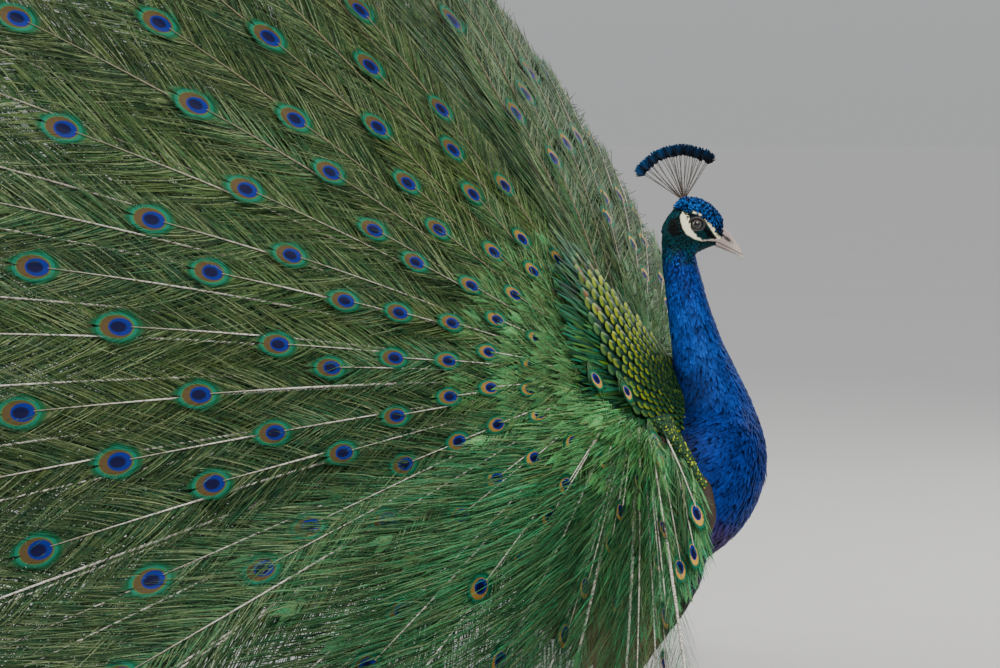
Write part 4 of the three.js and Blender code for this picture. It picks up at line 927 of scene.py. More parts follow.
def dress(data, colours):
    """Give a mesh the maps and values that the materials read."""
    points = values_of(data.vertices, "co", 3) - SHIFT
    corners = values_of(data.loops, "vertex_index", 1, np.int32).ravel()
    add_maps(data, dict.fromkeys(("OFBake", "vane"), skin_map(points)[corners]))
    add_shade(data, colours(points))


SINK = dict(torso=0.0045, neck=0.003, head=0.0012, thigh=0.004)
FLESH = ("torso", "neck", "head", "thigh_right", "thigh_left")


# Hollow round each eye, in millimetres: a sphere with its centre that far from the middle of the head.
SOCKET = dict(radius=11.0, centre=28.4, reach=10.8)


def skin():
    """One closed skin over torso, neck, head and thighs; it lies under the feathers."""
    points, faces, start = [], [], 0
    for tube_points, tube_faces in flesh_tubes(SINK):
        points.append(tube_points + SHIFT)
        faces += [[start + i for i in face] for face in tube_faces]
        start += len(tube_points)
    rough = bpy.data.meshes.new("rough_skin")
    rough.from_pydata(np.concatenate(points).tolist(), [], faces)
    draft = placed("rough_skin", rough)
    remesh = draft.modifiers.new("remesh", "REMESH")
    remesh.mode, remesh.voxel_size, remesh.use_smooth_shade = "VOXEL", 0.0024, True
    smoothing = draft.modifiers.new("smooth", "SMOOTH")
    smoothing.factor, smoothing.iterations = 0.5, 6
    depsgraph = bpy.context.evaluated_depsgraph_get()
    data = bpy.data.meshes.new_from_object(draft.evaluated_get(depsgraph))
    bpy.data.objects.remove(draft)
    bpy.data.meshes.remove(rough)
    work = bmesh.new()
    work.from_mesh(data)
    high = SHIFT[2] + 0.672
    collar = [v for v in work.verts if 0.42 < v.co.z - SHIFT[2] < 0.59 and v.co.x - SHIFT[0] > 0.0]
    for _ in range(60):
        bmesh.ops.smooth_vert(work, verts=collar, factor=0.5, use_axis_x=True, use_axis_y=True, use_axis_z=True)
    edges = [edge for edge in work.edges if min(v.co.z for v in edge.verts) > high]
    bmesh.ops.subdivide_edges(work, edges=edges, cuts=1, use_grid_fill=True, smooth=0.0)
    for vertex in work.verts:
        if vertex.co.z < high:
            continue
        a, left, u = (value[0] for value in head_place(np.array([vertex.co]) - SHIFT))
        r = math.hypot(a - EYE["along"], u - EYE["up"])
        if r < SOCKET["reach"]:
            limit = SOCKET["centre"] - math.sqrt(SOCKET["radius"] ** 2 - r * r)
            if abs(left) > limit:
                move = (limit - abs(left)) / 1000 * math.copysign(1, left)
                vertex.co += Vector(HEAD_LEFT * move)
    work.to_mesh(data)
    work.free()
    data.name = "body_skin"
    dress(data, skin_colour)
    data.materials.clear()
    data.materials.append(skin_material())
    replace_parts(worn("body_skin", data), *FLESH)
    return data


def triangles_of(data):
    """Corner points, corner normals and area of each triangle of a mesh, without SHIFT."""
    data.calc_loop_triangles()
    corners = values_of(data.loop_triangles, "vertices", 3, np.int32)
    points = (values_of(data.vertices, "co", 3) - SHIFT)[corners]
    area = np.linalg.norm(np.cross(points[:, 1] - points[:, 0], points[:, 2] - points[:, 0]), axis=1) / 2
    return points, values_of(data.vertex_normals, "vector", 3)[corners], area


def flow(points):
    """Way the feathers point: back over the head, down the neck, back along the trunk."""
    x, y, z = points.T
    a, left, u = head_place(points)
    back = -turned(AHEAD, HEAD_TURN) - UP * 0.15
    face = unit(np.stack([a - 34, left, u + 12], -1))
    face = unit(turned(face, HEAD_TURN) + back * 0.8)
    trunk, neck, thigh = unit(np.array([-1.0, 0, -0.22])), np.array([0.02, 0, -1.0]), np.array([-0.15, 0, -1.0])
    breast = unit(np.stack([-0.75 - 0 * x, 0.15 * np.sign(y), -0.75 + 0 * x], -1))
    way = painted(trunk, neck, smoothstep(z, 0.43, 0.53) * smoothstep(x, -0.03, 0.03))
    way = painted(way, breast, smoothstep(x, 0.03, 0.10) * smoothstep(z, 0.53, 0.45) * 0.8)
    way = painted(way, thigh, smoothstep(z, 0.29, 0.25))
    return painted(way, face, smoothstep(z, 0.675, 0.705))


# Feathers of the body: height over the floor in metres, then their length and half width there in millimetres.
SIZE_HEIGHTS = [0.18, 0.25, 0.32, 0.42, 0.52, 0.60, 0.66, 0.685, 0.70]
SIZE_LENGTHS = [11, 15, 15, 15, 13, 10, 7.5, 5.0, 4.2]
SIZE_HALF_WIDTHS = [2.2, 2.6, 2.3, 2.2, 1.7, 1.35, 1.1, 0.95, 0.85]
CROWN_LENGTH, CROWN_HALF_WIDTH = 3.6, 1.15


def feather_size(points):
    """Length and half width of the feathers at each place in metres, and how far it is on the crown."""
    x, z = points[:, 0], points[:, 2]
    length = np.interp(z, SIZE_HEIGHTS, SIZE_LENGTHS)
    half = np.interp(z, SIZE_HEIGHTS, SIZE_HALF_WIDTHS)
    half = half * (1 + smoothstep(x, 0.0, -0.06) * smoothstep(z, 0.30, 0.36))
    crown = crown_share(points)
    length = length + (CROWN_LENGTH - length) * crown
    half = half + (CROWN_HALF_WIDTH - half) * crown
    return length / 1000, half / 1000, crown


HEAD_HEIGHT = 0.67
CLEARANCE = 0.0006  # metres that roots are sunk in the skin and that tips stay clear of it
LEAF_TRIANGLES, MOST_TRIANGLES = 12, 190000  # of one feather of the body, and about the most for one piece


def coat(data):
    """Feathers all over the skin but the bare patches of the face."""
    corners, normals, area = triangles_of(data)
    middle = corners.mean(1)
    length, half, crown = feather_size(middle)
    cover = np.interp(middle[:, 2], [0.3, 0.5, 0.60, 0.66, 0.69], [3.4, 3.8, 3.9, 3.4, 2.6]) * (1 - 0.15 * crown)
    cover = cover * (1 - 0.5 * smoothstep(middle[:, 0], 0.0, -0.03) * (middle[:, 2] < 0.6))
    wanted = area * cover / (length * half * 1.5)
    a, left, u = head_place(middle)
    on_head = middle[:, 2] > HEAD_HEIGHT
    near_eye = (np.hypot(a - EYE["along"], u - EYE["up"]) < 9.8) & (np.abs(left) > 8) & on_head
    bare = bare_share(middle, [*CREAM_STROKES, GAPE_STROKE]) > 0.3
    wanted[near_eye | bare | ((a > 36) & on_head)] = 0
    wanted[(middle[:, 0] < -0.12) & (middle[:, 2] > 0.40)] *= 0.4
    count = int(wanted.sum())
    chosen = np.sort(rng.choice(len(area), count, p=wanted / wanted.sum()))
    share = rng.dirichlet((1, 1, 1), count)
    root = (corners[chosen] * share[..., None]).sum(1)
    normal = unit((normals[chosen] * share[..., None]).sum(1))
    length, half, crown = feather_size(root)
    way = unit(flow(root))
    along = flattened(way, normal)
    along = unit(unit(along) + rng.normal(0, 0.10, (count, 3)) + rng.normal(0, 0.8, (count, 3)) * crown[:, None])
    along = unit(flattened(along, normal))
    length = length * rng.uniform(0.8, 1.2, count)
    half = half * rng.uniform(0.85, 1.15, count)
    tint = rng.uniform(0, 1, count)
    spread = np.interp(root[:, 2], [0.50, 0.60, 0.68], [0.22, 0.50, 0.85])
    shade = body_colour(root) * (1 + spread * rng.uniform(-1, 1, count) * (1 + 0.2 * crown))[:, None]
    shade = shade * (0.75 + 0.5 * clumps(root, 0.008))[:, None]
    rise = length * (0.10 + 0.50 * crown + 0.10 * smoothstep(root[:, 2], 0.62, 0.68)) + 0.0004
    a = head_place(root)[0]
    rise = rise + 0.0015 * crown * smoothstep(a, -3, -8) * smoothstep(a, -23, -18)
    arch = length * (0.04 + 0.35 * crown)
    tree = BVHTree.FromPolygons(corners.reshape(-1, 3).tolist(), np.arange(len(corners) * 3).reshape(-1, 3).tolist())
    tips = root + along * length[:, None]
    for i in range(count):
        place, facing, _, _ = tree.find_nearest(Vector(tips[i]))
        sunk = (place - Vector(tips[i])).dot(facing)
        if sunk > 0:
            along[i] = unit(tips[i] + np.array(facing) * (sunk + CLEARANCE) - root[i])
    across = unit(np.cross(along, normal))
    normal = np.cross(across, along)
    bake = skin_map(root)
    pieces = math.ceil(count * LEAF_TRIANGLES / MOST_TRIANGLES)
    for number, part in enumerate(np.array_split(np.arange(count), pieces)):
        bag, colours = Bag(), []
        add_leaves(bag, root[part] - normal[part] * CLEARANCE, along[part], across[part], normal[part], length[part],
                   half[part], SHORT, 3, 0.22, rise[part], arch[part], tint[part], bake[part], colours, shade[part])
        piece = bag.mesh(f"body_feathers_{number + 1}", COAT_MATERIAL, "body_blue", colours)
        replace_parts(piece, *FLESH)


COAT_MATERIAL = body_material()
coat(skin())


# ---------------------------------------------------------------- mantle
class Mantle:
    hub = np.array([0.050, -0.005, 0.508])
    turn, lean = -14 * DEG, 37 * DEG
    axis = turned(np.array([math.cos(lean), 0, math.sin(lean)]), turn)
    up = turned(np.array([-math.sin(lean), 0, math.cos(lean)]), turn)
    left = turned(LEFT, turn)
    longest = 0.240
    reach = {-1: ([0, 30, 60, 90, 140], [1, 0.7, 0.52, 0.46, 0.5]),
             1: ([0, 10, 22, 40, 60, 140], [1, 0.82, 0.62, 0.5, 0.44, 0.4])}


def mantle_points(angle, s, offset):
    """Places on the mantle's sheet; angles in degrees from the top, positive to the left."""
    a = angle * DEG
    out = Mantle.up * np.cos(a)[:, None] + Mantle.left * np.sin(a)[:, None]
    at = (np.arange(12) + 0.5)[None, :] / 12 * s[:, None]
    g = (26 * np.sin(a)[:, None] ** 2 * np.minimum(1, at / 0.08) + 6 * at / 0.2) * DEG
    run, back = np.cos(g).mean(1) * s, np.sin(g).mean(1) * s
    return Mantle.hub + out * run[:, None] + Mantle.axis * (offset - back)[:, None]


def sheet_axes(angle, s, offset):
    """Ways out along the mantle's sheet and across it."""
    along = unit(mantle_points(angle, s + 0.004, offset) - mantle_points(angle, s - 0.004, offset))
    return along, mantle_points(angle + 1, s, offset) - mantle_points(angle - 1, s, offset)


def squared(along, across):
    """Across made square to along, and the normal on the front of the mantle."""
    across = unit(flattened(across, along))
    normal = np.cross(along, across)
    return across, normal * np.sign(np.sum(normal * Mantle.axis, -1, keepdims=True))


def mantle_reach(angle):
    right = np.interp(-angle, *Mantle.reach[-1])
    left = np.interp(angle, *Mantle.reach[1])
    return Mantle.longest * np.where(angle < 0, right, left)


LIME, GOLD_GREEN, TEAL_EDGE = np.array([(0.34, 0.38, 0.006), (0.09, 0.20, 0.014), (0.006, 0.13, 0.070)])


def mantle():
    """Shingled scale feathers, tiny at the neck and largest at the end of the mantle."""
    roots, sizes = [], []
    s, row = 0.026, 0
    while s < Mantle.longest:
        size = 0.0066 + 0.0190 * np.clip((s - 0.03) / 0.12, 0, 1)
        step = 0.74 * size / max(s, 0.02) / DEG
        angle = np.arange(-116 + step * (row % 2) / 2, 84, step)
        roots.append(np.stack([angle + rng.normal(0, 0.08, len(angle)) * step, np.full(len(angle), s)], -1))
        sizes.append(np.full(len(angle), size))
        s, row = s + 0.46 * size, row + 1
    roots, size = np.concatenate(roots), np.concatenate(sizes)
    angle, s = roots.T
    s = s + rng.normal(0, 0.05, len(s)) * size
    share = (s + size) / mantle_reach(angle)
    keep = share < 1.02 + rng.normal(0, 0.02, len(s))
    angle, s, size, share = angle[keep], s[keep], size[keep], share[keep]
    offset = 0.004 - 0.016 * np.clip((s - 0.05) / 0.17, 0, 1)
    root = mantle_points(angle, s, offset - 0.0012)
    along, across = sheet_axes(angle, s, offset)
    across, normal = squared(along, across)
    count = len(s)
    far = smoothstep(share, 0.80, 1.02)
    near = smoothstep(s, 0.10, 0.04)
    shade = painted(LIME, GOLD_GREEN, np.clip(rng.normal(0.3, 0.25, count) + 0.5 * near, 0, 1))
    shade = painted(shade, TEAL_EDGE, np.clip(far * 0.75 + rng.normal(0, 0.1, count), 0, 1))
    shade = shade * (1 - near * rng.uniform(0, 1, count) ** 0.4)[:, None] * rng.uniform(0.7, 1.2, (count, 1))
    bake = np.stack([(angle + 120) / 210, np.clip(s / 0.24, 0, 0.99)], -1)
    bag, colours = Bag(), []
    length = size * rng.uniform(0.95, 1.1, count)
    copper = np.clip(rng.uniform(-0.2, 0.5, count) + 0.7 * far * (np.abs(angle + 4) < 22), 0, 1)
    k = (angle < 4) | (s < 0.05)
    add_leaves(bag, root[k], along[k], across[k], normal[k], length[k], size[k] * 0.39, ROUND, 5, 0.34, size[k] * 0.17,
               size[k] * 0.05, copper[k], bake[k], colours, shade[k])
    piece = bag.mesh("mantle_scales", scale_material(), "scale_gold", colours)
    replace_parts(piece, "mantle")
    loose_feathers(np.stack([angle[~k], s[~k]], -1))


def loose_feathers(left):
    """Slim green feathers past the end of the scales, and in place of them on the far left."""
    count = 620
    angle = rng.uniform(-116, 4, count)
    start = mantle_reach(angle) * rng.uniform(0.72, 1.0, count)
    angle, start = np.concatenate([angle, left[:, 0]]), np.concatenate([start, left[:, 1]])
    count = len(angle)
    offset = -0.010 + rng.uniform(-0.004, 0.002, count)
    root = mantle_points(angle, start, offset)
    along, across = sheet_axes(angle, start, offset)
    along = unit(along + unit(across) * rng.normal(0, 0.22, (count, 1)))
    across, normal = squared(along, across)
    green = np.clip(rng.normal(0.3, 0.3, count), 0, 1)
    shade = painted(TEAL_EDGE, GOLD_GREEN, green) * rng.uniform(0.25, 1.3, (count, 1))
    bake = np.stack([(angle + 120) / 210, np.clip(start / 0.24, 0, 0.99)], -1)
    bag, colours = Bag(), []
    length = rng.uniform(0.030, 0.052, count)
    half = rng.uniform(0.0011, 0.0024, count)
    add_leaves(bag, root, along, across, normal, length, half, LONG, 3, 0.2, length * 0.06, length * 0.04,
               rng.uniform(0, 1, count), bake, colours, shade)
    piece = bag.mesh("mantle_fringe", bpy.data.materials["body_feathers"], "scale_gold", colours)
    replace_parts(piece, "mantle")


SHOULDER = np.array([[0.022, -0.098, 0.494], [0.032, -0.104, 0.476], [0.049, -0.107, 0.454], [0.074, -0.109, 0.413]])


def shoulder():
    """Band of tiny dark scales with yellow flecks, from the end of the mantle to the bend of the right wing."""
    count = 560
    t = rng.uniform(0, 1, count)
    stops = np.linspace(0, 1, 4)
    middle, behind = (np.stack([np.interp(t - d, stops, SHOULDER[:, k]) for k in range(3)], -1) for d in (0.0, 0.2))
    normal = np.broadcast_to(unit(np.array([0.30, -0.93, 0.20])), middle.shape)
    along = unit(middle - behind + np.array([0.0, 0.0, -0.002]))
    along = unit(flattened(along, normal) + rng.normal(0, 0.14, along.shape))
    across = unit(np.cross(along, normal))
    place = rng.uniform(-1, 1, count)
    half = np.interp(t, [0, 0.5, 1], [0.010, 0.0075, 0.0030])
    root = middle + across * (place * half)[:, None] - normal * (0.006 * place ** 2)[:, None]
    length = rng.uniform(0.0042, 0.0064, count)
    fleck = (rng.uniform(0, 1, (count, 1)) > 0.74) * 1.0
    shade = (GOLD_GREEN * 0.45 * (1 - fleck) + LIME * 1.5 * fleck) * rng.uniform(0.4, 1.15, (count, 1))
    bag, colours = Bag(), []
    add_leaves(bag, root, along, across, normal, length, length * 0.30, ROUND, 3, 0.3, length * 0.22, length * 0.05,
               rng.uniform(0, 0.4, count), np.stack([t * 0.9 + 0.05, 0.5 + place * 0.4], -1), colours, shade)
    piece = bag.mesh("shoulder_scales", bpy.data.materials["mantle_scales"], "scale_gold", colours)
    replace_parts(piece, "mantle")


mantle()
shoulder()


# ---------------------------------------------------------------- rump that carries the train
DOME = ((-0.082, 0.3), (-0.076, 0.7), (-0.06, 0.9), (-0.03, 0.96), (0.0, 0.96), (0.03, 0.9), (0.043, 0.7),
        (0.048, 0.3))  # how far ahead of the fan's centre, share of the size there


def rump():
    """Green scale feathers over the base of the train, pointing outwards between the shafts."""
    bag, colours = Bag(), []
    front = 0.052
    rows = np.arange(0.10, 1.14, 0.062)
    for k, share in enumerate(rows):
        around = 2 * math.pi * 0.078 * share
        size = 0.014 + 0.014 * share
        count = max(6, int(around / (0.42 * size)))
        angle = (np.arange(count) + 0.5 * (k % 2)) / count * 2 * math.pi + rng.normal(0, 0.05, count)
        depth = front - 0.012 * share ** 3
        out = Fan.up * np.cos(angle)[:, None] * Fan.root_up + Fan.left * np.sin(angle)[:, None] * Fan.root_side
        root = Fan.centre + out * share + Fan.axis * depth
        way = unit(out)
        normal = unit(np.broadcast_to(Fan.axis, (count, 3)) + way * 0.35 * share ** 2)
        along = unit(flattened(way, normal))
        across = np.cross(along, normal)
        green = np.clip(rng.normal(0.4, 0.3, count), 0, 1)
        shade = painted(TEAL_EDGE, GOLD_GREEN, green) * rng.uniform(0.3, 0.9, (count, 1))
        bake = np.stack([angle % (2 * math.pi) / 6.3, np.full(count, 0.02 + 0.85 * share)], -1)
        length = size * rng.uniform(0.9, 1.15, count)
        add_leaves(bag, root, along, across, normal, length, size * 0.36, ROUND, 5, 0.3, size * 0.15, size * 0.04,
                   rng.uniform(0, 0.3, count), bake, colours, shade)
    piece = bag.mesh("rump_scales", scale_material(), "train_green", colours)
    for _, side in SIDES:
        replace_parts(piece, *(f"train_{side}_{name}" for name in SECTORS))
    dome = [ring_points(Fan.centre + Fan.axis * depth, Fan.up, Fan.left, Fan.root_up * share, Fan.root_side * share, 48)
            for depth, share in DOME]
    solid_piece("rump_skin", tube(dome), "down", (0.010, 0.030, 0.016), ["tail"])


def solid_piece(name, shape, slot, colour, nodes, roughness=0.6, **sockets):
    """Smooth plain piece in one colour."""
    points, faces = shape
    data = bpy.data.meshes.new(name)
    data.from_pydata((points + SHIFT).tolist(), [], faces)
    data.polygons.foreach_set("use_smooth", np.ones(len(faces), bool))
    dress(data, lambda where: np.broadcast_to(np.array(colour), where.shape))
    t = Tree(name)
    grain = t.noise(300.0, 3.0)
    tone = t.mix(t.step(grain, 0.3, 0.7, 0.35, 0.0), colour, tuple(c * 0.55 for c in colour))
    data.materials.append(t.finish(tone, roughness, 0.0, t.bump(grain, 0.2, 0.0004), **sockets))
    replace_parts(worn(name, data), *nodes)


rump()


# ---------------------------------------------------------------- tail
def tail():
    """Ten stiff brown feathers a side, behind the fan."""
    bag, colours = Bag(), []
    for side in (-1, 1):
        for i in range(10):
            length = 0.430 * (1 - 0.015 * i)
            line = fan_line(6 + 9.8 * i, side, -0.060 - 0.004 * (i % 2), length)
            u, p = LONG[:, 0], LONG[:, 1]
            u = np.interp(np.linspace(0, 1, 22), np.linspace(0, 1, len(u)), u)
            p = np.interp(u, LONG[:, 0], LONG[:, 1]) * np.interp(u, [0, 0.3, 0.6, 1], [0.35, 0.7, 1, 1])
            w = np.linspace(-1, 1, 7)
            x = 0.027 * p[:, None] * w[None, :]
            y = u[:, None] * length + 0 * x
            points = line.place(x, y, -0.06 * np.abs(x) - 8 * x ** 2)
            vane = np.stack([np.broadcast_to(w * p[:, None], x.shape), np.broadcast_to(u[:, None], x.shape)], -1)
            strip = (i + 0.5) / 20 + (0.5 if side > 0 else 0)
            bake = np.stack([strip + 0.02 * vane[..., 0], 0.02 + 0.95 * vane[..., 1]], -1)
            bag.add(points, grid_quads(22, 7), [], vane, bake, np.full(22 * 7, rng.uniform()))
            shade = np.array((0.085, 0.060, 0.040)) * rng.uniform(0.8, 1.2)
            colours.append(np.broadcast_to(shade, (22 * 7, 3)))
    piece = bag.mesh("tail_feathers", plate_material("tail_feathers", False), "tail_brown", colours)
    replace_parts(piece, "tail")


tail()


# ---------------------------------------------------------------- wings
PLATE = rows_mm([[93, 384, 362], [84, 418, 346], [50, 440, 346], [10, 444, 362], [-24, 440, 380], [-42, 426, 398]])


def trunk_half(x):
    """Half width of the torso at x."""
    return np.interp(x, TORSO[::-1, 0], TORSO[::-1, 3])


def wing_row(bag, colours, side, share, count, half, rise, lift, outward, tone, bake_row):
    """One row of overlapping feathers of a folded wing, share times as long as the flight feathers."""
    t = np.linspace(0, 1, count)
    dip = (60 + (22 - 60) * t) * DEG
    x = 0.070 - 0.096 * t - (0.010 if rise else 0)
    rise = rise * (0.66 + 0.34 * smoothstep(t, 0, 0.35))
    along = unit(np.stack([-np.cos(dip), np.full(count, side * outward), -np.sin(dip)], -1))
    outwards = np.array([0, side * 1.0, 0])
    flat = unit(np.cross(along, outwards))
    tilt = side * 14 * DEG
    across = flat * math.cos(tilt) + np.cross(along, flat) * math.sin(tilt)
    normal = np.cross(along, across)
    normal *= np.sign(np.sum(normal * outwards, -1, keepdims=True))
    root = np.stack([x, side * (trunk_half(x) + 0.003 + lift), 0.362 + 0.040 * t + rise], -1)
    length = (0.240 - 0.060 * t) * share * (1 + rng.normal(0, 0.012, count))
    shade = np.asarray(tone) * rng.uniform(0.75, 1.25, (count, 1))
    bake = np.stack([0.03 + 0.94 * t, np.full(count, bake_row)], -1)
    add_leaves(bag, root - along * 0.008, along, across, normal, length, half, LONG if share > 0.4 else ROUND, 7, 0.22,
               0.0, length * 0.02, rng.uniform(0, 1, count), bake, colours, shade)


def wings():
    flight, covert = plate_material("flight_feathers", False), plate_material("wing_coverts", True)
    for side, name in SIDES:
        bag, colours = Bag(), []
        wing_row(bag, colours, side, 1.0, 15, 0.0150, 0, 0, 0.16, (0.20, 0.075, 0.028), 0.1)
        piece = bag.mesh(f"wing_{name}_flight", flight, "wing_rufous", colours)
        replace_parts(piece, f"wing_{name}")
        bag, colours = Bag(), []
        wing_row(bag, colours, side, 0.46, 12, 0.0135, 0.014, 0.003, 0.26, (0.085, 0.045, 0.022), 0.25)
        wing_row(bag, colours, side, 0.30, 12, 0.0125, 0.030, 0.004, 0.28, (0.110, 0.065, 0.036), 0.4)
        for k in range(5):
            wing_row(bag, colours, side, 0.17 - 0.01 * k, 13, 0.0100, 0.036 + 0.011 * k, 0.0045 - 0.0008 * k, 0.16,
                     (0.135, 0.090, 0.055), 0.5 + 0.09 * k)
        piece = bag.mesh(f"wing_{name}_coverts", covert, "wing_rufous", colours)
        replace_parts(piece, f"wing_{name}")
        middle = np.interp(np.linspace(0, 1, 24), np.linspace(0, 1, 6), trunk_half(PLATE[:, 0]) + 0.003)
        rings = [ring_points(np.array([x - 0.008, side * y, (top + low) / 2]), LEFT, UP, 0.0058,
                             (top - low) / 2 - 0.003, 24) for (x, top, low), y in zip(smooth_rows(PLATE, 24), middle)]
        solid_piece(f"wing_{name}_arm", tube(rings), "wing_rufous", (0.035, 0.018, 0.009), [f"wing_{name}"])


wings()


# ---------------------------------------------------------------- crest
CREST_SHAFTS = 27


def crest():
    """Fine bare shafts, each with a fan of barbs at its end."""
    material = body_material()
    plume, shafts, colours = Bag(), Bag(), []
    root = head_point(-12, 0, 33)
    for i in range(CREST_SHAFTS):
        front = i / (CREST_SHAFTS - 1)
        angle = (-57 + 89 * i / (CREST_SHAFTS - 1) + rng.normal(0, 0.6)) * DEG
        splay = ((i % 3) - 1) * 3.4 * DEG
        along = turned(unit(np.array([math.sin(angle), math.sin(splay), math.cos(angle)])), HEAD_TURN)
        across = unit(np.cross(HEAD_LEFT, along))
        facing = np.cross(along, across)
        tip = 0.0640 + 0.0030 * (1 - front) + rng.normal(0, 0.0006)
        s = np.linspace(-0.003, tip + 0.004, 12)
        bend = 0.0012 * rng.normal() * np.sin(np.pi * np.clip(s / tip, 0, 1))
        middle = root + along * s[:, None] + across * bend[:, None]
        line = Line(s, middle, np.broadcast_to(across, (12, 3)), np.broadcast_to(facing, (12, 3)))
        strip = ((i + 0.5) / CREST_SHAFTS, 0.4 / CREST_SHAFTS, 0.07)
        stem = np.repeat(np.linspace(tip - 0.0108, tip - 0.0010, 34), 2)
        n = len(stem)
        q = (stem - stem[0]) / (stem[-1] - stem[0])
        sign = np.tile([-1.0, 1.0], n // 2)
        reach = 0.0100 * (1 - 0.42 * q) * rng.uniform(0.75, 1.25, n)
        tone = np.array((0.0, 0.290, 0.700)) * (1 - 0.80 * front ** 1.2) * rng.uniform(0.5, 1.2)
        shade = tone * (0.10 + 1.1 * q[:, None] ** 1.2) * rng.uniform(0.5, 1.5, (n, 1))
        add_barbs(plume, line, stem, sign, reach, (52 - 34 * q + rng.normal(0, 7, n)) * DEG, np.full(n, 0.0012),
                  rng.normal(0, 0.0005, n), rng.normal(0.2, 0.2, n) * sign, 0.01, 0.07, rng.uniform(0.4, 1, n), strip,
                  colours, shade)
        fine = np.repeat(np.arange(0.006, tip - 0.011, 0.0022), 2)
        n = len(fine)
        sign = np.tile([-1.0, 1.0], n // 2)
        add_barbs(plume, line, fine, sign, rng.uniform(0.0010, 0.0024, n), np.full(n, 40 * DEG), np.full(n, 0.0004),
                  np.zeros(n), np.zeros(n), 0.01, 0.07, rng.uniform(0.4, 1, n), strip, colours,
                  np.array((0.05, 0.045, 0.035)) * rng.uniform(0.6, 1.4, (n, 1)))
        add_shaft(shafts, line, -0.002, tip - 0.009, 0.0008, 0.0006, strip, 0.07, 8, 0.0)
    piece = plume.mesh("crest_fans", material, "crest", colours)
    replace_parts(piece, "crest")
    t = Tree("crest_shafts")
    piece = shafts.mesh("crest_shafts", t.finish((0.085, 0.058, 0.042), 0.45, Specular_IOR_Level=0.3), "crest")
    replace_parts(piece, "crest")


crest()


# ---------------------------------------------------------------- eyes, lids, bill
def eye_material():
    """Black pupil and a brown iris with a dark rim, from the angle to the eye's own axis."""
    t = Tree("eye_ball")
    u, _ = t.vane()
    colour = t.mix(t.step(u, 0.30, 0.335), (0.002, 0.002, 0.003), (0.060, 0.049, 0.043))
    colour = t.mix(t.step(u, 0.62, 0.70), colour, (0.006, 0.005, 0.005))
    return t.finish(colour, 0.10, 0.0, Specular_IOR_Level=0.3, Coat_Weight=0.5, Coat_Roughness=0.04)


def eyes():
    """Eyeballs and the lids round them."""
    for side, name in SIDES:
        outward = HEAD_LEFT * side
        centre = head_point(EYE["along"], side * EYE["side"], EYE["up"])
        ahead = turned(AHEAD, HEAD_TURN)
        bag = Bag()
        polar = np.linspace(0.02, math.pi - 0.02, 28)
        around = np.linspace(0, 2 * math.pi, 40, endpoint=False)
        p, q = np.meshgrid(polar, around, indexing="ij")
        radius = EYE["radius"] / 1000
        points = centre + (outward * np.cos(p)[..., None] + ahead * (np.sin(p) * np.cos(q))[..., None]
                           + UP * (np.sin(p) * np.sin(q))[..., None]) * radius
        vane = np.stack([p / (math.pi / 2), q / 7], -1)
        bag.add(points, ring_quads(28, 40), [], vane, np.stack([q / 6.4, p / 3.2], -1), 0.5)
        piece = bag.mesh(f"eyeball_{name}", eye_material(), "eye")
        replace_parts(piece, f"eye_{name}")
        rings = []
        for q in around:
            way = ahead * math.cos(q) + UP * math.sin(q)
            opening = 0.0078 * math.cos(q) ** 2 + 0.0060 * math.sin(q) ** 2
            thick = 0.0017 + 0.0004 * math.sin(q)
            middle = centre + outward * 0.0048 + way * (opening + thick)
            rings.append(ring_points(middle, way, outward, thick, thick * 0.8, 12))
        points = np.concatenate(rings)
        a = np.arange(40 * 12).reshape(40, 12)
        b = np.roll(a, -1, 1)
        faces = np.stack([a, b, np.roll(b, -1, 0), np.roll(a, -1, 0)], -1).reshape(-1, 4)
        solid_piece(f"lid_{name}", (points, faces.tolist()), "face", (0.013, 0.011, 0.011), ["head"], 0.42)


# Bill: along the head, top, bottom, half width; mouth: along, height.
BILL = rows_mm([
    [27, 4, -23, 9], [34, 0.9, -25.4, 7.6], [40, -2.5, -28, 6.5], [46, -8, -30.2, 5.1], [52, -17.3, -32.6, 3.6],
    [56.5, -25, -34.5, 2.2], [59.5, -31, -36.5, 1.2], [61.3, -36.3, -38, 0.4]])
MOUTH_GAP = 0.00025
MOUTH = rows_mm([[9.8, -14.3], [19.5, -15.2], [30, -18.2], [39, -21.8], [49, -26.8], [55, -30.8], [56.5, -34.2]])


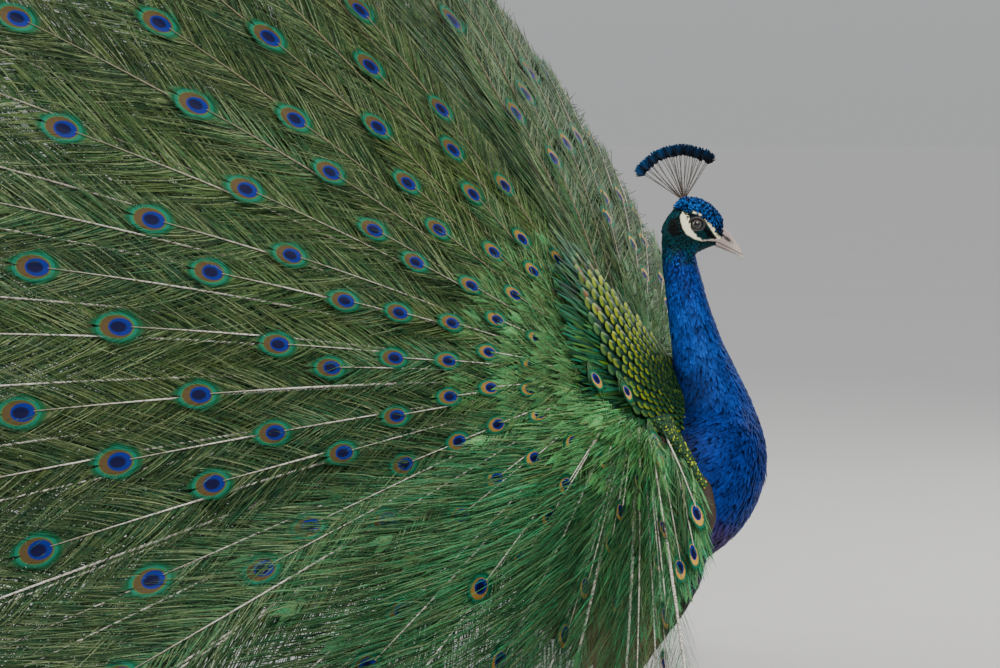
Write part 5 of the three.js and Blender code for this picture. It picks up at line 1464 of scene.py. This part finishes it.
def bill_material():
    """Horn, paler and pinker on the cere; a near-black slit with a darker patch round it is painted shade in the
    nostril's opening, and a darker line along the mouth is painted shade in the crease between the two halves.
    """
    t = Tree("bill_horn")
    u, v = t.vane()
    grain = t.noise(260.0, 3.0)
    colour = t.mix(t.step(u, 0.36, 0.58), (0.33, 0.255, 0.235), (0.52, 0.45, 0.39))
    colour = t.mix(t.step(grain, 0.35, 0.75, 0.35, 0.0), colour, (0.20, 0.16, 0.14))
    a = t.math("SUBTRACT", u, 0.412)
    b = t.math("ADD", v, 0.136)
    run = t.math("ADD", t.math("MULTIPLY", a, 0.80), t.math("MULTIPLY", b, -0.60))
    rest = t.math("ADD", t.math("MULTIPLY", a, 0.60), t.math("MULTIPLY", b, 0.80))
    slit = t.math("SQRT", t.math("ADD", t.math("POWER", t.math("ABSOLUTE", t.math("DIVIDE", run, 0.048)), 2.0),
                                 t.math("POWER", t.math("ABSOLUTE", t.math("DIVIDE", rest, 0.015)), 2.0)))
    # Painted shade: the nostril's opening near black, with a darker patch round it.
    colour = t.mix(t.step(slit, 2.6, 1.3, 0.0, 0.55), colour, (0.075, 0.055, 0.050))
    colour = t.mix(t.step(slit, 1.25, 0.85), colour, (0.014, 0.010, 0.009))
    # Painted shade along the crease of the mouth.
    fall = t.math("ADD", t.math("MULTIPLY", t.math("SUBTRACT", u, 0.30), 0.485), 0.180)
    edge = t.math("ABSOLUTE", t.math("ADD", v, fall))
    colour = t.mix(t.step(edge, 0.013, 0.004, 0.0, 0.7), colour, (0.060, 0.045, 0.040))
    height = t.math("ADD", t.math("MULTIPLY", t.step(slit, 1.6, 0.8), -1.0), t.math("MULTIPLY", grain, 0.12))
    return t.finish(colour, 0.34, 0.0, t.bump(height, 0.8, 0.0008), Specular_IOR_Level=0.5)


def bill():
    """The two halves of the bill, closed along the mouth but for a fine gap."""
    material = bill_material()
    rows = smooth_rows(BILL, 60)
    mouth = np.interp(rows[:, 0], MOUTH[:, 0], MOUTH[:, 1])
    for name, upper in (("upper", True), ("lower", False)):
        bag = Bag()
        points, vane = [], []
        for (along, top, low, wide), line in zip(rows, mouth):
            if not upper and along > 0.0563:
                break
            floor = low if along > 0.0566 else line + MOUTH_GAP
            high, deep = (top, floor) if upper else (line - MOUTH_GAP, low)
            q = np.linspace(0, 2 * math.pi, 28, endpoint=False)
            centre = deep if upper else high
            side = wide * np.sign(np.cos(q)) * np.abs(np.cos(q)) ** 0.85
            tall = np.where(np.sin(q) > 0, high - centre, centre - deep) * np.sin(q)
            if upper:
                tall = np.where(np.sin(q) < 0, 0.0004 * np.sin(q), tall)
            up = centre + tall
            points.append(turned(np.stack([np.full(28, along), side, up], -1), HEAD_TURN) + HEAD_CENTRE)
            vane.append(np.stack([np.full(28, along * 10), up * 10], -1))
        last = (len(points) - 1) * 28
        tip = np.array([[last, last + i, last + i + 1] for i in range(1, 27)])
        vane = np.concatenate(vane)
        bag.add(np.concatenate(points), ring_quads(len(points), 28), tip, vane, 0.3 + vane * 0.3, 0.5)
        piece = bag.mesh(f"bill_{name}_horn", material, "bill")
        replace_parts(piece, f"bill_{name}")


eyes()
bill()


# ---------------------------------------------------------------- legs
def limb(bag, centres, side_axis, front_axis, wide, deep, raises, count=20):
    """Scaled limb through rings; raises lifts the front of each ring where a scute ends."""
    angle = np.linspace(0, 2 * math.pi, count, endpoint=False)
    points = []
    for centre, w, d, up in zip(centres, wide, deep, raises):
        ring = centre + side_axis * (np.cos(angle) * w)[:, None]
        points.append(ring + front_axis * (np.sin(angle) * d + up * np.maximum(0, np.sin(angle)))[:, None])
    n = len(points)
    last = (n - 1) * count
    caps = [[0, i + 1, i] for i in range(1, count - 1)] + [[last, last + i, last + i + 1] for i in range(1, count - 1)]
    vane = np.stack([np.tile(angle / 6.3, n), np.repeat(np.linspace(0, 1, n), count)], -1)
    bag.add(np.concatenate(points), ring_quads(n, count), caps, vane, vane * 0.9 + 0.05, 0.5)


def scute_marks(first, last, count, height):
    """Shares of a limb's length and the lift there: each scute rises and ends in a small step."""
    marks = [(first - 0.03, 0.0)]
    for i in range(count):
        start = first + (last - first) * i / count
        marks += [(start, 0.0), (start + (last - first) / count * 0.93, height)]
    return marks + [(last + 0.005, 0.0)]


def legs():
    """Scaled shanks and toes, with claws and spurs."""
    t = Tree("leg_scales")
    grain = t.noise(700.0, 3.0)
    horn = t.finish(t.mix(t.step(grain, 0.35, 0.7), (0.17, 0.145, 0.125), (0.25, 0.22, 0.195)), 0.5, 0.0,
                    t.bump(t.make("ShaderNodeTexVoronoi", {"Scale": 420.0}), 0.35, 0.0006))
    t = Tree("claw_horn")
    dark = t.finish(t.mix(t.noise(300.0), (0.020, 0.017, 0.015), (0.060, 0.050, 0.042)), 0.3)
    shank = np.array([[-0.06, 9, 8], [0.16, 7.6, 6.6], [0.5, 6.4, 5.6], [0.8, 7, 6.6], [1.02, 8, 8]])
    toe = np.array([[0, 1.1, 12], [0.25, 1, 8], [0.5, 1, 6.4], [0.78, 0.85, 5.2], [0.84, 0.6, 4.6]])
    for side, name in SIDES:
        foot = FEET[side]
        hock, ankle = foot + [-0.042, 0, 0.158], foot + [0, 0, 0.016]
        way = unit(ankle - hock)
        front = -np.cross(LEFT, way)
        bag, claws = Bag(), Bag()
        marks = np.array([(-0.06, 0.0)] + scute_marks(0.12, 0.97, 17, 0.0007) + [(1.02, 0.0)])
        at = marks[:, 0]
        limb(bag, hock + (ankle - hock) * at[:, None], LEFT, front, np.interp(at, shank[:, 0], shank[:, 2]) / 1000,
             np.interp(at, shank[:, 0], shank[:, 1]) / 1000, marks[:, 1])
        for turn, length, width in ((0, 0.072, 6.2), (38, 0.056, 5.6), (-36, 0.052, 5.6), (176, 0.026, 4.6)):
            ahead = turned(AHEAD, turn * DEG)
            beside = turned(LEFT, turn * DEG)
            marks = np.array([(0.0, 0.0)] + scute_marks(0.12, 0.80, 9, 0.0006))
            at = marks[:, 0]
            height = np.interp(at, toe[:, 0], toe[:, 2]) / 1000
            centres = foot + ahead * (at * length)[:, None] + UP * height[:, None]
            wide = np.interp(at, toe[:, 0], toe[:, 1]) * width / 1000
            limb(bag, centres, beside, UP, wide, height - 0.0001, marks[:, 1])
            at = np.linspace(0, 1, 9)
            middle = foot + ahead * ((0.78 + 0.22 * at) * length)[:, None] + UP * (0.0052 - 0.0040 * at ** 1.6)[:, None]
            thick = 0.0034 * (1 - at) ** 0.7 + 0.0003
            limb(claws, middle, beside, UP, thick * 0.8, np.minimum(thick, middle[:, 2] - foot[2]), np.zeros(9), 14)
        root = hock + (ankle - hock) * 0.62
        out = unit(np.array([-0.8, side * -0.35, 0.1]))
        at = np.linspace(0, 1, 10)
        spur = root + out * (0.019 * at)[:, None] + UP * (0.003 * at ** 2)[:, None]
        across = unit(np.cross(LEFT, out))
        thick = 0.0034 * (1 - at) ** 0.8 + 0.0003
        limb(claws, spur, across, np.cross(out, across), thick, thick, np.zeros(10), 14)
        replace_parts(bag.mesh(f"leg_{name}_scutes", horn, "leg"), f"leg_{name}")
        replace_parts(claws.mesh(f"leg_{name}_claws", dark, "leg"), f"leg_{name}")


legs()


# ---------------------------------------------------------------- floor, light, camera
def stage():
    """Floor, sky and three soft lamps."""
    size = 60.0
    data = bpy.data.meshes.new("floor")
    data.from_pydata([(-size, -size, 0), (size, -size, 0), (size, size, 0), (-size, size, 0)], [], [(0, 1, 2, 3)])
    floor = placed("floor", data)
    t = Tree("floor_paper")
    grain = t.noise(180.0, 4.0)
    data.materials.append(t.finish(t.mix(grain, (0.76, 0.75, 0.73), (0.80, 0.79, 0.77)), 0.9))
    world = bpy.data.worlds.new("studio")
    world.use_nodes = True
    nodes, links = world.node_tree.nodes, world.node_tree.links
    split, ramp = nodes.new("ShaderNodeSeparateXYZ"), nodes.new("ShaderNodeMix")
    height = nodes.new("ShaderNodeMapRange")
    ramp.data_type = "RGBA"
    ramp.inputs[6].default_value, ramp.inputs[7].default_value = (0.70, 0.71, 0.72, 1), (0.92, 0.94, 0.96, 1)
    height.inputs[1].default_value, height.inputs[2].default_value = 0.0, 0.35
    links.new(nodes.new("ShaderNodeTexCoord").outputs["Generated"], split.inputs[0])
    links.new(split.outputs[2], height.inputs[0])
    links.new(height.outputs[0], ramp.inputs[0])
    links.new(ramp.outputs[2], nodes["Background"].inputs[0])
    nodes["Background"].inputs[1].default_value = 0.60
    bpy.context.scene.world = world

    def area(name, place, target, size, power, colour):
        light = bpy.data.lights.new(name, "AREA")
        light.shape, light.size, light.energy, light.color = "DISK", size, power, colour
        lamp = placed(name, light)
        lamp.location = place
        lamp.rotation_euler = (Vector(target) - Vector(place)).to_track_quat("-Z", "Y").to_euler()

    middle = tuple(np.array([-0.2, 0.0, 0.6]) + SHIFT)
    area("key", tuple(np.array([1.6, -3.2, 3.4]) + SHIFT), middle, 2.6, 190, (1.0, 0.97, 0.93))
    area("fill", tuple(np.array([-3.4, -2.6, 2.2]) + SHIFT), middle, 3.0, 80, (0.92, 0.96, 1.0))
    area("rim", tuple(np.array([1.8, 3.2, 3.0]) + SHIFT), middle, 2.4, 70, (1.0, 0.98, 0.95))


# Azimuth and pitch in degrees, focal length in pixels of the photo, the rest in metres in the bird's own frame.
CAMERA = dict(azimuth=10.0, distance=4.2, focal=3444.0, height=0.87, pitch=3.9, ahead=0.189)


def camera():
    """The photo's own view: a long lens at the bird's right side."""
    a = CAMERA["azimuth"] * DEG
    right = np.array([math.cos(a), math.sin(a), 0])
    back = np.array([math.sin(a), -math.cos(a), 0])
    place = -CAMERA["ahead"] * right + CAMERA["distance"] * back + np.array([0, 0, CAMERA["height"]]) + SHIFT
    pitch = CAMERA["pitch"] * DEG
    forward = -back * math.cos(pitch) - UP * math.sin(pitch)
    above = np.cross(right, forward)
    data = bpy.data.cameras.new("camera")
    data.sensor_width = 36.0
    data.lens = 36.0 * CAMERA["focal"] / 1000
    data.clip_end = 100
    view = placed("camera", data)
    basis = Matrix((tuple(right), tuple(above), tuple(-forward))).transposed().to_4x4()
    basis.translation = Vector(place)
    view.matrix_world = basis
    bpy.context.scene.camera = view


stage()
camera()
